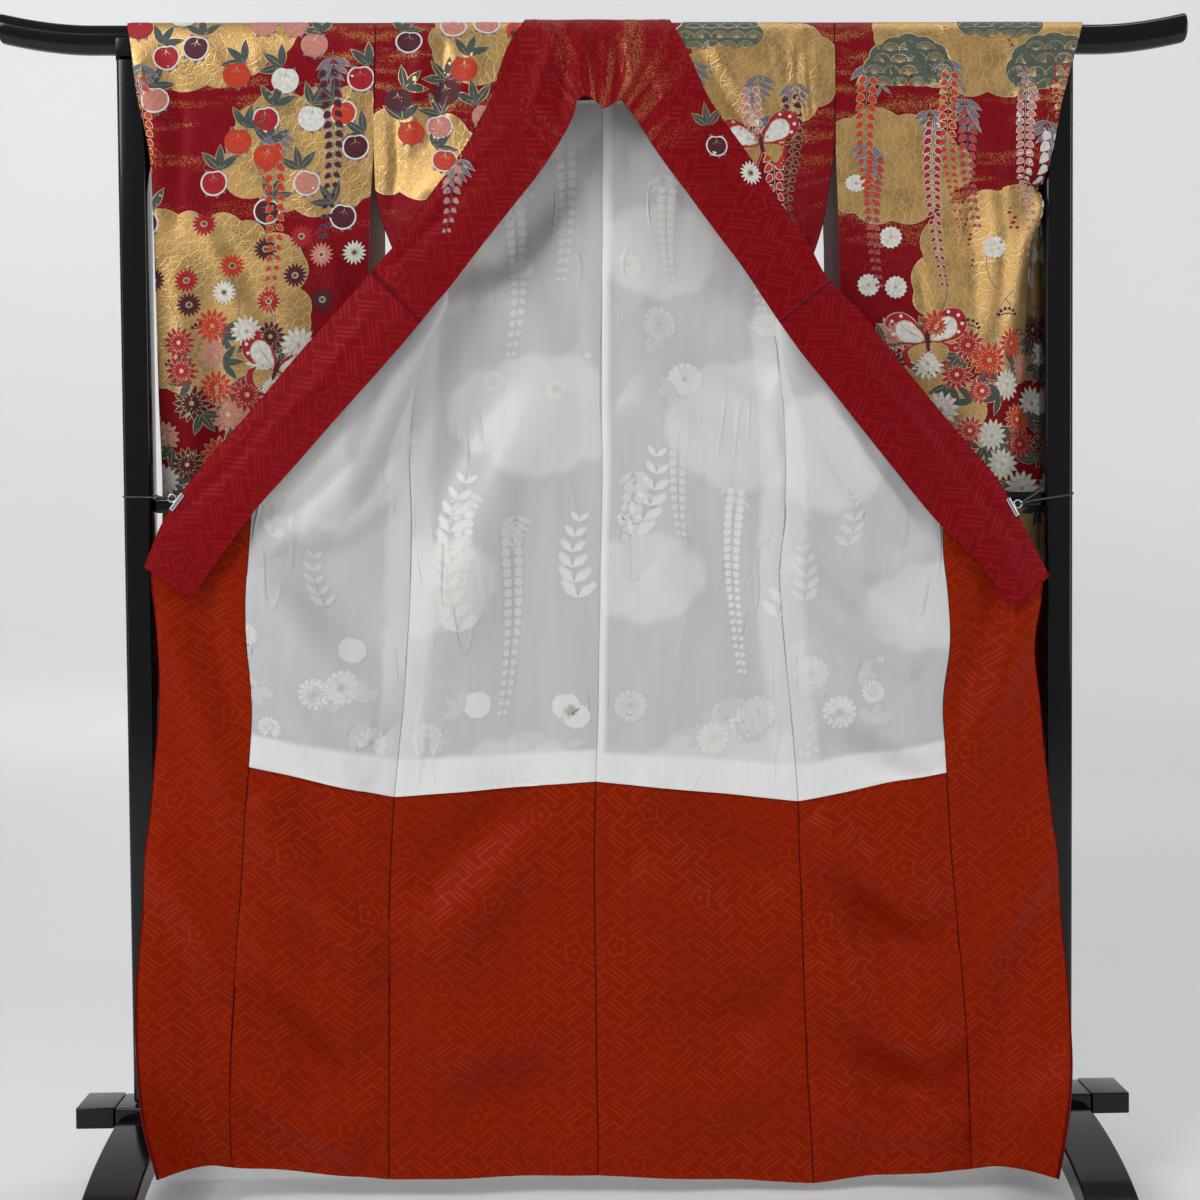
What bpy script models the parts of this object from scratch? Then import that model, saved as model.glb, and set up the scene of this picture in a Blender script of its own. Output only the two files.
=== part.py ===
"""A furisode hung open on a black lacquered kimono stand, lining side to the front.

Metres, +Z up, X to the right, Y away from the viewer. The floor is z = 0 and the stand is
centred on the origin. Section tables are in millimetres, one row for each section of cloth.
"""
import math

import bmesh
import bpy
import numpy as np
from mathutils import Vector

MM = 0.001

# Cloth: thickness of each layer and the gap kept between neighbours
OUTER_CLOTH = 1.2 * MM
LINING_CLOTH = 1.0 * MM
COLLAR_CLOTH = 1.6 * MM
LAYER_GAP = 0.3 * MM
SEAM_PULL = 0.2 * MM

# Stand
BAR_HALF = 0.820
BAR_TOP = 1.620
BAR_HEIGHT = 0.040
BAR_TIP_LENGTH = 0.125
BAR_TIP_RISE = 0.0165
POST_X = 0.640
POST_WIDTH = 0.039
POST_DEPTH = 0.040
POST_TOP = 1.599
RAIL_Z = 0.960
RAIL_HEIGHT = 0.021
RAIL_DEPTH = 0.023
SHELF_TOP = 0.125
SHELF_HEIGHT = 0.027
SHELF_DEPTH = 0.069
SHELF_HALF = 0.7355
CAP_LENGTH = 0.053
CAP_LIP = 0.0012
FOOT_WIDTH = 0.070
FOOT_REACH = 0.315
FOOT_CREST = 0.112
FOOT_INNER_REACH = 0.268
FOOT_INNER_CREST = 0.076
TOE_ROUND = 0.004
FIT_GAP = 0.3 * MM

# Outer face of the cloth where it lies on the crown of the bar
CROWN = BAR_TOP + 3 * MM

# How far the outer face is from the crown line on the first rows: depth, drop
OVER_BAR = ((0.4, 0), (10, 1.8), (17.5, 9), (24.5, 26))

# Rows of the body sections, from the shoulder fold to the hem
BAR_ROWS = 4
UNDERARM = 9
OKUMI_TOP = 11
BAND_END = 15
LINING_EDGE = 18
HEM = 24
OVER_COLLAR_END = {"left": 9, "right": 8}
FRONT_LINING_TOP = 8

# side_x, side_z, seam_x, seam_z, free_x, free_z: armhole or side seam, collar seam (from the
# band's end down, the okumi's own edge) and the collar's free edge. Rows 4 to 24.
EDGES = {
    "left": (
        (-307, 1511, -151, 1503, -77, 1414),
        (-308, 1444, -188, 1436, -111, 1370),
        (-304, 1370, -237, 1369, -163, 1304),
        (-293, 1332, -271, 1317, -209, 1244),
        (-276, 1291, -291, 1293, -225, 1225),
        (-250, 1239, -309, 1273, -242, 1203),
        (-255, 1170, -359, 1217, -290, 1147),
        (-259, 1095, -413, 1156, -354, 1076),
        (-264, 1020, -474, 1084, -419, 1003),
        (-262, 937, -535, 1016, -469, 948),
        (-263, 875, -590, 942, -520, 882),
        (-265, 820, -620, 876, -559, 831),
        (-269, 759, -605, 783),
        (-277, 669, -606, 697),
        (-289, 556, -615, 598),
        (-294, 483, -625, 509),
        (-298, 379, -635, 399),
        (-299, 268, -642, 285),
        (-300, 164, -633, 194),
        (-301, 82, -610, 133),
        (-301, 29, -590, 79),
    ),
    "right": (
        (326, 1510, 154, 1506, 78, 1437),
        (325, 1442, 200, 1439, 123, 1374),
        (316, 1385, 249, 1362, 164, 1316),
        (308, 1339, 281, 1313, 191, 1278),
        (284, 1275, 312, 1257, 242, 1200),
        (243, 1212, 355, 1214, 272, 1157),
        (245, 1165, 394, 1163, 305, 1115),
        (252, 1092, 437, 1109, 341, 1068),
        (255, 1016, 488, 1046, 389, 1007),
        (252, 933, 542, 981, 456, 926),
        (246, 871, 578, 916, 514, 870),
        (247, 816, 611, 854, 557, 808),
        (252, 754, 592, 766),
        (260, 664, 602, 683),
        (269, 544, 613, 582),
        (271, 469, 624, 488),
        (274, 364, 634, 376),
        (277, 260, 640, 267),
        (280, 156, 634, 175),
        (284, 73, 609, 114),
        (286, 14, 593, 61),
    ),
}

# side_x, seam_x, free_x, free_z on the crown and the three rows below it
SHOULDER = {
    "left": ((-307, -96, -29, 1508), (-306, -99, -30, 1505),
             (-305, -104, -31, 1499), (-305, -115, -34, 1484)),
    "right": ((329, 97, 32, 1509), (328, 99, 33, 1506),
              (327, 103, 37, 1501), (326, 112, 46, 1488)),
}

# valley_x, valley_z, roll_x, roll_z, mid_x, mid_z: where the front panel turns back on itself
# behind the band and its lining rolls out to the front. Rows 6 to 15.
TURN_TOP = 6
TURN = {
    "left": (
        (-286, 1370, -266, 1370, -250, 1370),
        (-282, 1330, -267, 1324, -268, 1320),
        (-256, 1286, -229, 1283, -259, 1289),
        (-230, 1241, -209, 1246, -250, 1261),
        (-249, 1170, -234, 1182, -292, 1200),
        (-262, 1096, -268, 1119, -339, 1137),
        (-296, 1020, -320, 1034, -390, 1056),
        (-345, 927, -385, 940, -428, 965),
        (-352, 863, -414, 873, -450, 890),
        (-352, 812, -412, 818, -449, 827),
    ),
    "right": (
        (298, 1380, 280, 1374, 263, 1368),
        (297, 1335, 279, 1329, 279, 1321),
        (276, 1273, 262, 1269, 285, 1264),
        (251, 1214, 250, 1219, 299, 1221),
        (249, 1167, 260, 1150, 325, 1161),
        (260, 1091, 280, 1090, 358, 1098),
        (269, 1013, 314, 1014, 398, 1029),
        (273, 930, 362, 932, 419, 955),
        (292, 867, 385, 877, 426, 883),
        (313, 813, 387, 818, 432, 825),
    ),
}

# seam_x, seam_z of the seam between the front panel and the okumi. Rows 12 to 24.
OKUMI_SEAM = {
    "left": ((-458, 1073), (-470, 984), (-478, 903), (-484, 836), (-485, 782), (-479, 696),
             (-485, 602), (-492, 515), (-501, 405), (-511, 281), (-516, 177), (-517, 94),
             (-514, 52)),
    "right": ((473, 1040), (465, 969), (464, 897), (472, 833), (476, 767), (467, 684),
              (472, 584), (477, 490), (487, 379), (496, 267), (502, 162), (504, 78),
              (505, 34)),
}

# side, valley, roll, mid, okumi, seam, free, back_side, back_centre: depth of the outer face.
# Rows 4 to 24.
DEPTHS = (
    (-29, -30, -32, -34, -36, -36, -50, 26, 22),
    (-29, -32, -36, -39, -42, -42, -57, 22, 20),
    (-29, -31, -34, -41, -52, -52, -65, 14, 12),
    (-30, -32, -36, -47, -59, -59, -73, 2, 8),
    (-32, -41, -43, -53, -64, -64, -79, -12, 6),
    (-30, -46, -59, -63, -64, -64, -84, -30, 2),
    (-31, -46, -66, -67, -66, -66, -89, -31, -2),
    (-33, -49, -71, -72, -69, -69, -93, -33, -8),
    (-35, -47, -73, -75, -72, -72, -95, -35, -14),
    (-38, -49, -70, -75, -74, -74, -94, -38, -18),
    (-40, -54, -65, -71, -73, -74, -89, -40, -20),
    (-41, -54, -62, -67, -69, -70, -82, -41, -22),
    (-42, -53, -58, -63, -66, -64, 0, -42, -26),
    (-43, -52, -56, -60, -63, -60, 0, -43, -30),
    (-44, -51, -54, -58, -60, -57, 0, -44, -33),
    (-45, -52, -52, -58, -60, -56, 0, -45, -36),
    (-46, -53, -50, -58, -60, -56, 0, -46, -38),
    (-48, -54, -50, -60, -60, -72, 0, -48, -42),
    (-52, -56, -52, -62, -62, -108, 0, -52, -46),
    (-56, -58, -56, -62, -66, -170, 0, -56, -52),
    (-60, -56, -60, -64, -70, -190, 0, -60, -58),
)

# centre_x, centre_z of the centre back seam. Rows 4 to 24.
CENTRE_BACK = ((6, 1523), (6, 1453), (5, 1377), (5, 1337), (4, 1295), (4, 1242), (3, 1172),
               (2, 1095), (2, 1019), (0, 935), (-2, 873), (-3, 817), (-5, 755), (-7, 665),
               (-11, 573), (-14, 478), (-14, 373), (-13, 262), (-13, 158), (-12, 76),
               (-13, 29))

# Large soft folds that hang in the lower cloth: piece, place across it from the centre or the
# side seam outwards, half width, depth, and the first and last row
FOLDS = (
    ("back_left", 0.35, 0.16, 5, 10, 24),
    ("back_left", 0.72, 0.14, -5, 12, 24),
    ("back_right", 0.30, 0.15, -4, 10, 24),
    ("back_right", 0.70, 0.15, 6, 12, 24),
    ("front_left", 0.30, 0.14, -5, 16, 24),
    ("front_left", 0.72, 0.13, 5, 16, 24),
    ("front_right", 0.35, 0.14, 6, 16, 24),
    ("front_right", 0.75, 0.12, -5, 16, 24),
)

# The collar's way round the bar at the neck: run from the crown, depth, height over the crown
NECK_WRAP = ((-60, 31, -44), (-42, 28.8, -25.2), (-23, 21.4, -6.6), (-11, 11.8, 2.4),
             (0, 0, 4.5), (11, -11.8, 2.4), (23, -21.4, -6.6), (42, -28.8, -25.2),
             (150, -40, -134))
# x of the seam and the free edge, run of the seam, height of the free edge: neck sections
# from the left shoulder to the right one
NECK = ((-77, -25, -9, 1511), (-50, -17, -20, 1515), (-23, -6, -27, 1509), (3, 6, -30, 1498),
        (29, 14, -27, 1500), (54, 19, -20, 1503), (78, 26, -9, 1507))
COLLAR_STATIONS = (0, 0.06, 0.12, 0.18, 0.25, 0.33, 0.45, 0.62, 0.8, 1)
COLLAR_BULGE = 3 * MM
# How far the collar's outer face lies in front of the panel's at their seam
COLLAR_LAP_OPEN = 1.9 * MM
COLLAR_LAP_FOLDED = 4.8 * MM

# z, outer_x, outer_y, inner_x, inner_y of the front wall and outer_x, outer_y, inner_x,
# inner_y of the back wall
SLEEVES = {
    "left": (
        (1511, -628, -27, -307, -29, -642, 26, -307, 26),
        (1444, -615, -20, -308, -29, -622, 23, -308, 22),
        (1376, -614, -10, -313, -26, -615, -7, -300, 30),
        (1309, -614, -5, -316, -22, -615, -2, -299, 32),
        (1242, -614, 0, -320, -14, -615, 3, -300, 34),
        (1105, -614, 8, -323, 4, -615, 11, -302, 36),
        (985, -613, 17, -326, 17, -614, 20, -304, 38),
        (870, -617, 21, -331, 18, -618, 24, -308, 38),
        (769, -620, 23, -335, 20, -621, 26, -314, 36),
        (687, -615, 24, -339, 22, -616, 27, -322, 34),
        (616, -594, 25, -343, 23, -595, 28, -332, 30),
        (578, -550, 26, -350, 24, -551, 29, -346, 27),
    ),
    "right": (
        (1510, 640, -31, 326, -29, 655, 27, 326, 26),
        (1415, 619.5, -33, 327, -28, 637, 29, 325, 27),
        (1376, 612, -33, 329, -26, 634, 29, 318, 30),
        (1309, 592, -32, 331, -22, 632, 29, 318, 32),
        (1242, 580, -29, 334, -16, 630, 29, 319, 34),
        (1105, 552, -18, 338, -2, 630, 29, 321, 36),
        (985, 542, 17, 340, 17, 632, 30, 324, 38),
        (870, 560, 20, 342, 18, 640, 31, 328, 38),
        (769, 590, 23, 346, 20, 650, 32, 334, 37),
        (687, 626, 24, 350, 22, 664, 32, 340, 35),
        (616, 640, 25, 354, 23, 668, 32, 348, 31),
        (578, 620, 26, 362, 24, 640, 31, 358, 28),
    ),
}
SLEEVE_SHOULDER_X = {"left": (-647, -645, -643, -639), "right": (676, 674, 671, 665)}
SLEEVE_SEAM_GAP = 0.5 * MM
# Below this row the right sleeve's front has turned back inside the post, as far out as x
SLEEVE_TURNS_ROW = 6
SLEEVE_INSIDE_POST = 617
SLEEVE_BELLY = 9 * MM

# Clip and tie at each collar end: clip_x, clip_y, clip_z, lean of the clip in degrees
CLIPS = {"left": (-574, -77.0, 964, 37), "right": (560, -77.0, 949, -29)}
JAW_LENGTH = 0.027
JAW_GAP = 0.0080
JAW_REACH = 0.0045
JAW_SHEET = 0.0011
RING_RADIUS = 0.0052
RING_WIRE = 0.0011
TIE_WIRE = 0.0010

# Colours (linear), roughness, metallic
FINISHES = {
    "lacquer": ((0.006, 0.006, 0.007, 1), 0.12, 0.0),
    "printed_silk": ((0.31, 0.012, 0.018, 1), 0.45, 0.0),
    "collar_silk": ((0.36, 0.010, 0.016, 1), 0.42, 0.0),
    "white_silk": ((0.72, 0.73, 0.71, 1), 0.50, 0.0),
    "vermilion_silk": ((0.38, 0.035, 0.008, 1), 0.42, 0.0),
    "chrome": ((0.80, 0.80, 0.82, 1), 0.12, 1.0),
    "elastic": ((0.01, 0.01, 0.01, 1), 0.70, 0.0),
}


def clear_scene():
    for item in list(bpy.data.objects):
        bpy.data.objects.remove(item, do_unlink=True)


def finish(name):
    material = bpy.data.materials.get(name)
    if material is None:
        colour, roughness, metallic = FINISHES[name]
        material = bpy.data.materials.new(name)
        material.use_nodes = True
        shader = material.node_tree.nodes["Principled BSDF"]
        shader.inputs["Base Color"].default_value = colour
        shader.inputs["Roughness"].default_value = roughness
        shader.inputs["Metallic"].default_value = metallic
        material.diffuse_color = colour
    return material


def add_object(name, mesh_bm, finish_name):
    mesh = bpy.data.meshes.new(name)
    bmesh.ops.recalc_face_normals(mesh_bm, faces=mesh_bm.faces)
    mesh_bm.to_mesh(mesh)
    mesh_bm.free()
    item = bpy.data.objects.new(name, mesh)
    bpy.context.scene.collection.objects.link(item)
    mesh.materials.append(finish(finish_name))
    return item


# Cloth walls

def point(x, y, z):
    return np.array((x, y, z), dtype=float) * MM


def unit(vectors):
    return vectors / np.linalg.norm(vectors, axis=-1, keepdims=True)


def face_directions(points, turn):
    """Directions in which the outer face looks, at each point of a grid."""
    rows, columns = points.shape[:2]
    down = points[1:] - points[:-1]
    across = points[:, 1:] - points[:, :-1]
    total = np.zeros_like(points)
    for low in (0, 1):
        for right in (0, 1):
            corner = np.cross(down[:, right:columns - 1 + right], across[low:rows - 1 + low])
            total[low:rows - 1 + low, right:columns - 1 + right] += unit(corner)
    return unit(total) * turn


def share_seam(first, second):
    """Give both sides of a seam one common direction, so that their walls meet."""
    common = unit(first + second)
    first[...] = common
    second[...] = common


def spread(stations):
    """Insert one smooth point between each two stations of a row."""
    stations = np.asarray(stations)
    out = [stations[0]]
    last = len(stations) - 1
    for i in range(last):
        before = stations[max(i - 1, 0)]
        after = stations[min(i + 2, last)]
        middle = (stations[i] + stations[i + 1]) * 0.5625 - (before + after) * 0.0625
        out += [middle, stations[i + 1]]
    return np.array(out)


def pull_in(grid, sides):
    """Draw the named sides of a grid in by half a seam's gap."""
    grid = grid.copy()
    for side in sides:
        lines = {"first": (grid[:, 0], grid[:, 1]), "last": (grid[:, -1], grid[:, -2]),
                 "top": (grid[0], grid[1]), "bottom": (grid[-1], grid[-2])}[side]
        edge, neighbour = lines
        edge += unit(neighbour - edge) * SEAM_PULL
    return grid


def wall(name, grid, facing, depth, thickness, seams, finish_name):
    """Closed wall of cloth between two sheets that follow the grid.

    depth is the distance from the grid, against the outer face's direction, to the wall's
    own outer sheet.
    """
    outer = pull_in(grid - facing * depth, seams)
    inner = pull_in(grid - facing * (depth + thickness), seams)
    mesh_bm = bmesh.new()
    rows, columns = grid.shape[:2]
    sheets = [[[mesh_bm.verts.new(sheet[r, c]) for c in range(columns)] for r in range(rows)]
              for sheet in (outer, inner)]
    for sheet in sheets:
        for r in range(rows - 1):
            for c in range(columns - 1):
                mesh_bm.faces.new((sheet[r][c], sheet[r][c + 1],
                                   sheet[r + 1][c + 1], sheet[r + 1][c]))
    rim = [(r, 0) for r in range(rows)]
    rim += [(rows - 1, c) for c in range(1, columns)]
    rim += [(r, columns - 1) for r in range(rows - 2, -1, -1)]
    rim += [(0, c) for c in range(columns - 2, 0, -1)]
    for (r0, c0), (r1, c1) in zip(rim, rim[1:] + rim[:1]):
        mesh_bm.faces.new((sheets[0][r0][c0], sheets[0][r1][c1],
                           sheets[1][r1][c1], sheets[1][r0][c0]))
    return add_object(name, mesh_bm, finish_name)


# Body sections

def edge_row(side, row):
    return EDGES[side][row - BAR_ROWS]


def depth_row(row):
    return DEPTHS[row - BAR_ROWS]


def collar_seam(side, row):
    """Where the collar, or lower down the okumi's edge, meets the section's end."""
    if row < BAR_ROWS:
        depth, drop = OVER_BAR[row]
        return point(SHOULDER[side][row][1], -depth, CROWN / MM - drop)
    x, z = edge_row(side, row)[2:4]
    return point(x, depth_row(row)[5], z)


def side_edge(side, row, back=False):
    """Armhole edge above the underarm and side seam below it."""
    if row < BAR_ROWS:
        depth, drop = OVER_BAR[row]
        return point(SHOULDER[side][row][0], depth if back else -depth, CROWN / MM - drop)
    x, z = edge_row(side, row)[:2]
    return point(x, depth_row(row)[7 if back else 0], z)


def okumi_seam(side, row):
    if row < OKUMI_TOP:
        return collar_seam(side, row)
    if row == OKUMI_TOP:
        top = collar_seam(side, row)
        return top + unit(side_edge(side, row) - top) * 3 * MM
    x, z = OKUMI_SEAM[side][row - OKUMI_TOP - 1]
    return point(x, depth_row(row)[4], z)


def front_section(side, row):
    start, end = side_edge(side, row), okumi_seam(side, row)
    if TURN_TOP <= row <= BAND_END:
        turn = TURN[side][row - TURN_TOP]
        depths = depth_row(row)[1:4]
        middle = [point(turn[2 * i], depths[i], turn[2 * i + 1]) for i in range(3)]
    else:
        middle = [start + (end - start) * t for t in (0.25, 0.5, 0.75)]
        if row > BAND_END:
            for station, depth in zip(middle, depth_row(row)[1:4]):
                station[1] = depth * MM
    return spread([start, *middle, end])


OKUMI_STATIONS = (0, 0.35, 0.7, 1)


def okumi_section(side, row):
    start = okumi_seam(side, row)
    end = collar_seam(side, row)
    if row == BAND_END:
        end = end + (start - end) * 0.06
    section = []
    for share in OKUMI_STATIONS:
        place = start + (end - start) * share
        if row > BAND_END:
            place[1] = start[1] + (end[1] - start[1]) * share ** 1.8
        section.append(place)
    return np.array(section)


# The back panel's own stations across, from the centre back seam to the side
BACK_STATIONS = (0, 0.16, 0.32, 0.49, 0.66, 0.83, 1)


def back_section(side, row):
    end = side_edge(side, row, back=True)
    if row < BAR_ROWS:
        start = np.array((4 * MM, end[1], end[2]))
        return np.array([start + (end - start) * share for share in BACK_STATIONS])
    x, z = CENTRE_BACK[row - BAR_ROWS]
    start = point(x, depth_row(row)[8], z)
    section = []
    for share in BACK_STATIONS:
        place = start + (end - start) * share
        place[1] = start[1] + (end[1] - start[1]) * share ** 2
        section.append(place)
    return np.array(section)


def add_folds(name, grid):
    """Lay the large soft folds into a panel's grid."""
    columns = grid.shape[1]
    for panel, place, width, depth, first, last in FOLDS:
        if panel != name:
            continue
        for row in range(first, last + 1):
            fade = min(1.0, (row - first) / 3)
            for column in range(1, columns - 1):
                share = column / (columns - 1)
                swell = math.exp(-((share - place) / width) ** 2)
                swell *= math.sin(math.pi * share) ** 0.5
                grid[row, column, 1] += depth * MM * swell * fade
    return grid


def body_grids(side):
    """Grids of one side's back, front and okumi, with the way each outer face looks."""
    rows = range(HEM + 1)
    back = add_folds("back_" + side, np.array([back_section(side, r) for r in rows]))
    front = add_folds("front_" + side, np.array([front_section(side, r) for r in rows]))
    okumi = np.array([okumi_section(side, r) for r in range(OKUMI_TOP, HEM + 1)])
    turn = 1 if side == "left" else -1
    back_facing = face_directions(back, turn)
    front_facing = face_directions(front, turn)
    okumi_facing = face_directions(okumi, turn)
    back_facing[0] = front_facing[0] = (0, 0, 1)
    back_facing[:, 0, 0] = 0
    back_facing[:, 0] = unit(back_facing[:, 0])
    share_seam(back_facing[UNDERARM:, -1], front_facing[UNDERARM:, 0])
    share_seam(front_facing[OKUMI_TOP:, -1], okumi_facing[:, 0])
    return {"back": (back, back_facing), "front": (front, front_facing),
            "okumi": (okumi, okumi_facing)}


def build_body(side):
    grids = body_grids(side)
    lining_depth = OUTER_CLOTH + LAYER_GAP

    back, back_facing = grids["back"]
    wall("back_" + side, back, back_facing, 0, OUTER_CLOTH,
         ("first", "last", "top"), "printed_silk")
    upper = slice(BAR_ROWS, LINING_EDGE + 1)
    lower = slice(LINING_EDGE, HEM + 1)
    wall("lining_back_" + side, back[upper], back_facing[upper], lining_depth, LINING_CLOTH,
         ("first", "last", "bottom"), "white_silk")
    wall("hakkake_back_" + side, back[lower], back_facing[lower], lining_depth, LINING_CLOTH,
         ("first", "last", "top"), "vermilion_silk")

    front, front_facing = grids["front"]
    wall("front_" + side, front, front_facing, 0, OUTER_CLOTH,
         ("first", "last", "top"), "printed_silk")
    upper = slice(FRONT_LINING_TOP, LINING_EDGE + 1)
    wall("lining_front_" + side, front[upper], front_facing[upper], lining_depth,
         LINING_CLOTH, ("first", "last", "bottom"), "white_silk")
    wall("hakkake_front_" + side, front[lower], front_facing[lower], lining_depth,
         LINING_CLOTH, ("first", "last", "top"), "vermilion_silk")

    okumi, okumi_facing = grids["okumi"]
    wall("okumi_" + side, okumi, okumi_facing, 0, OUTER_CLOTH,
         ("first", "top"), "printed_silk")
    wall("hakkake_okumi_" + side, okumi, okumi_facing, lining_depth, LINING_CLOTH,
         ("first", "top"), "vermilion_silk")


# Collar

def wrap_row(seam_x, free_x, run_start, free_z):
    """One section of the collar where it goes over the bar."""
    runs = [row[0] for row in NECK_WRAP]
    depths = [row[1] for row in NECK_WRAP]
    heights = [row[2] for row in NECK_WRAP]
    run_end = float(np.interp(-(free_z - CROWN / MM), [27, 134], [42, 150]))
    section = []
    for share in COLLAR_STATIONS:
        run = run_start + (run_end - run_start) * share
        x = seam_x + (free_x - seam_x) * share ** 1.2
        section.append(point(x, np.interp(run, runs, depths),
                             CROWN / MM + np.interp(run, runs, heights)))
    return section


def collar_section(side, row):
    if row < BAR_ROWS:
        _, seam_x, free_x, free_z = SHOULDER[side][row]
        run_start = np.interp(OVER_BAR[row][1], [0, 1.8, 9, 26], [1, 11, 23, 41])
        return wrap_row(seam_x, free_x, run_start, free_z)
    folded = np.clip((row - 6) / 2, 0, 1)
    lap = COLLAR_LAP_OPEN + (COLLAR_LAP_FOLDED - COLLAR_LAP_OPEN) * folded
    start = collar_seam(side, row) - np.array((0, lap, 0))
    x, z = edge_row(side, row)[4:]
    end = point(x, depth_row(row)[6], z)
    section = []
    for share in COLLAR_STATIONS:
        place = start + (end - start) * share
        place[1] -= COLLAR_BULGE * math.sin(math.pi * share)
        section.append(place)
    return section


def build_collar():
    rows = [collar_section("left", r) for r in range(BAND_END, -1, -1)]
    rows += [wrap_row(*row) for row in NECK]
    rows += [collar_section("right", r) for r in range(BAND_END + 1)]
    grid = np.array(rows)
    facing = face_directions(grid, -1)
    left_end = BAND_END - OVER_COLLAR_END["left"]
    right_end = BAND_END + 1 + len(NECK) + OVER_COLLAR_END["right"]
    wall("collar_left", grid[:left_end + 1], facing[:left_end + 1], 0, COLLAR_CLOTH,
         ("bottom",), "collar_silk")
    wall("over_collar", grid[left_end:right_end + 1], facing[left_end:right_end + 1], 0,
         COLLAR_CLOTH, ("top", "bottom"), "collar_silk")
    wall("collar_right", grid[right_end:], facing[right_end:], 0, COLLAR_CLOTH,
         ("top",), "collar_silk")


# Sleeves

SLEEVE_SHARES = (0, 0.2, 0.4, 0.6, 0.8, 0.93, 1)


def sleeve_section(side, row, wall_name):
    """One section of a sleeve's front or back wall, from its seam out to the cuff edge."""
    sign = -1 if side == "left" else 1
    front = wall_name == "front"
    if row < BAR_ROWS:
        depth, drop = OVER_BAR[row]
        depth = -depth if front else depth
        inner = point(SHOULDER[side][row][0], depth, CROWN / MM - drop)
        outer = point(SLEEVE_SHOULDER_X[side][row], depth, CROWN / MM - drop)
        belly = 0.0
    else:
        z, *places = SLEEVES[side][row - BAR_ROWS]
        outer_x, outer_y, inner_x, inner_y = places[:4] if front else places[4:]
        inner = point(inner_x, inner_y, z)
        outer = point(outer_x, outer_y, z)
        last = BAR_ROWS + len(SLEEVES[side]) - 1
        belly = SLEEVE_BELLY * min(1, (row - BAR_ROWS) / 2, (last - row) / 3)
        belly *= 0.0 if front else 1.0
    inner[0] += sign * SLEEVE_SEAM_GAP
    section = []
    for share in SLEEVE_SHARES:
        place = inner + (outer - inner) * share
        place[1] += belly * math.sin(math.pi * share)
        section.append(place)
    if side == "right" and front and row >= SLEEVE_TURNS_ROW:
        section = fold_back(section, row)
    return section


def fold_back(section, row):
    """The right sleeve's front turns back behind its ridge, past the post's inner side."""
    z, _, _, _, _, back_x, back_y, _, _ = SLEEVES["right"][row - BAR_ROWS]
    ridge = section[-1]
    section[-3] = section[-3] + (ridge - section[-3]) * 0.96
    if row == SLEEVE_TURNS_ROW:
        section[-2] = point(SLEEVE_INSIDE_POST - 1, 17, z)
        section[-1] = point(SLEEVE_INSIDE_POST, back_y - 5, z)
    else:
        middle = (ridge[0] / MM + back_x) / 2
        section[-2] = point(max(SLEEVE_INSIDE_POST, middle), back_y - 5, z)
        section[-1] = point(back_x, back_y - 2.8, z)
    return section


def build_sleeve(side):
    rows = range(BAR_ROWS + len(SLEEVES[side]))
    turn = 1 if side == "right" else -1
    for wall_name, face in (("front", turn), ("back", -turn)):
        grid = np.array([sleeve_section(side, r, wall_name) for r in rows])
        facing = face_directions(grid, face)
        facing[0] = (0, 0, 1)
        name = "sleeve_%s_%s" % (side, wall_name)
        wall(name, grid, facing, 0, OUTER_CLOTH, ("top",), "printed_silk")
        if wall_name == "back":
            inside = slice(BAR_ROWS, len(grid) - 2)
            wall("sleeve_lining_" + side, grid[inside, :-1], facing[inside, :-1],
                 OUTER_CLOTH + LAYER_GAP, LINING_CLOTH, (), "white_silk")


# Stand

def prism(name, outline, axis_start, axis_end, place, finish_name):
    """Closed solid of an outline drawn between two ends; place turns outline to a point."""
    mesh_bm = bmesh.new()
    ends = [[mesh_bm.verts.new(place(p, at)) for p in outline] for at in (axis_start, axis_end)]
    count = len(outline)
    for i in range(count):
        j = (i + 1) % count
        mesh_bm.faces.new((ends[0][i], ends[0][j], ends[1][j], ends[1][i]))
    mesh_bm.faces.new(ends[0][::-1])
    mesh_bm.faces.new(ends[1])
    return add_object(name, mesh_bm, finish_name)


def box(name, low, high, finish_name, bevel=0.0, segments=2):
    mesh_bm = bmesh.new()
    bmesh.ops.create_cube(mesh_bm, size=1)
    size = [h - l for l, h in zip(low, high)]
    centre = [(h + l) / 2 for l, h in zip(low, high)]
    bmesh.ops.scale(mesh_bm, vec=size, verts=mesh_bm.verts)
    bmesh.ops.translate(mesh_bm, vec=centre, verts=mesh_bm.verts)
    item = add_object(name, mesh_bm, finish_name)
    if bevel:
        modifier = item.modifiers.new("rounded edges", "BEVEL")
        modifier.width = bevel
        modifier.segments = segments
        modifier.limit_method = "ANGLE"
    return item


# Half outline of the bar, from its top round the front to its bottom: depth, height
BAR_OUTLINE = ((0, 20), (7, 18.8), (11.8, 15), (14.6, 9.5), (16.5, 3.5), (16.5, -3.5),
               (15.0, -10), (11.5, -15.6), (6.5, -19))


def bar_outline():
    half = [(-y * MM, z * MM) for y, z in BAR_OUTLINE]
    other = [(-y, z) for y, z in half[:0:-1]]
    return half + [(0.0, -20 * MM)] + other


def tip_rise(x):
    along = max(0.0, abs(x) - (BAR_HALF - BAR_TIP_LENGTH)) / BAR_TIP_LENGTH
    return BAR_TIP_RISE * along ** 1.8


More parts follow.
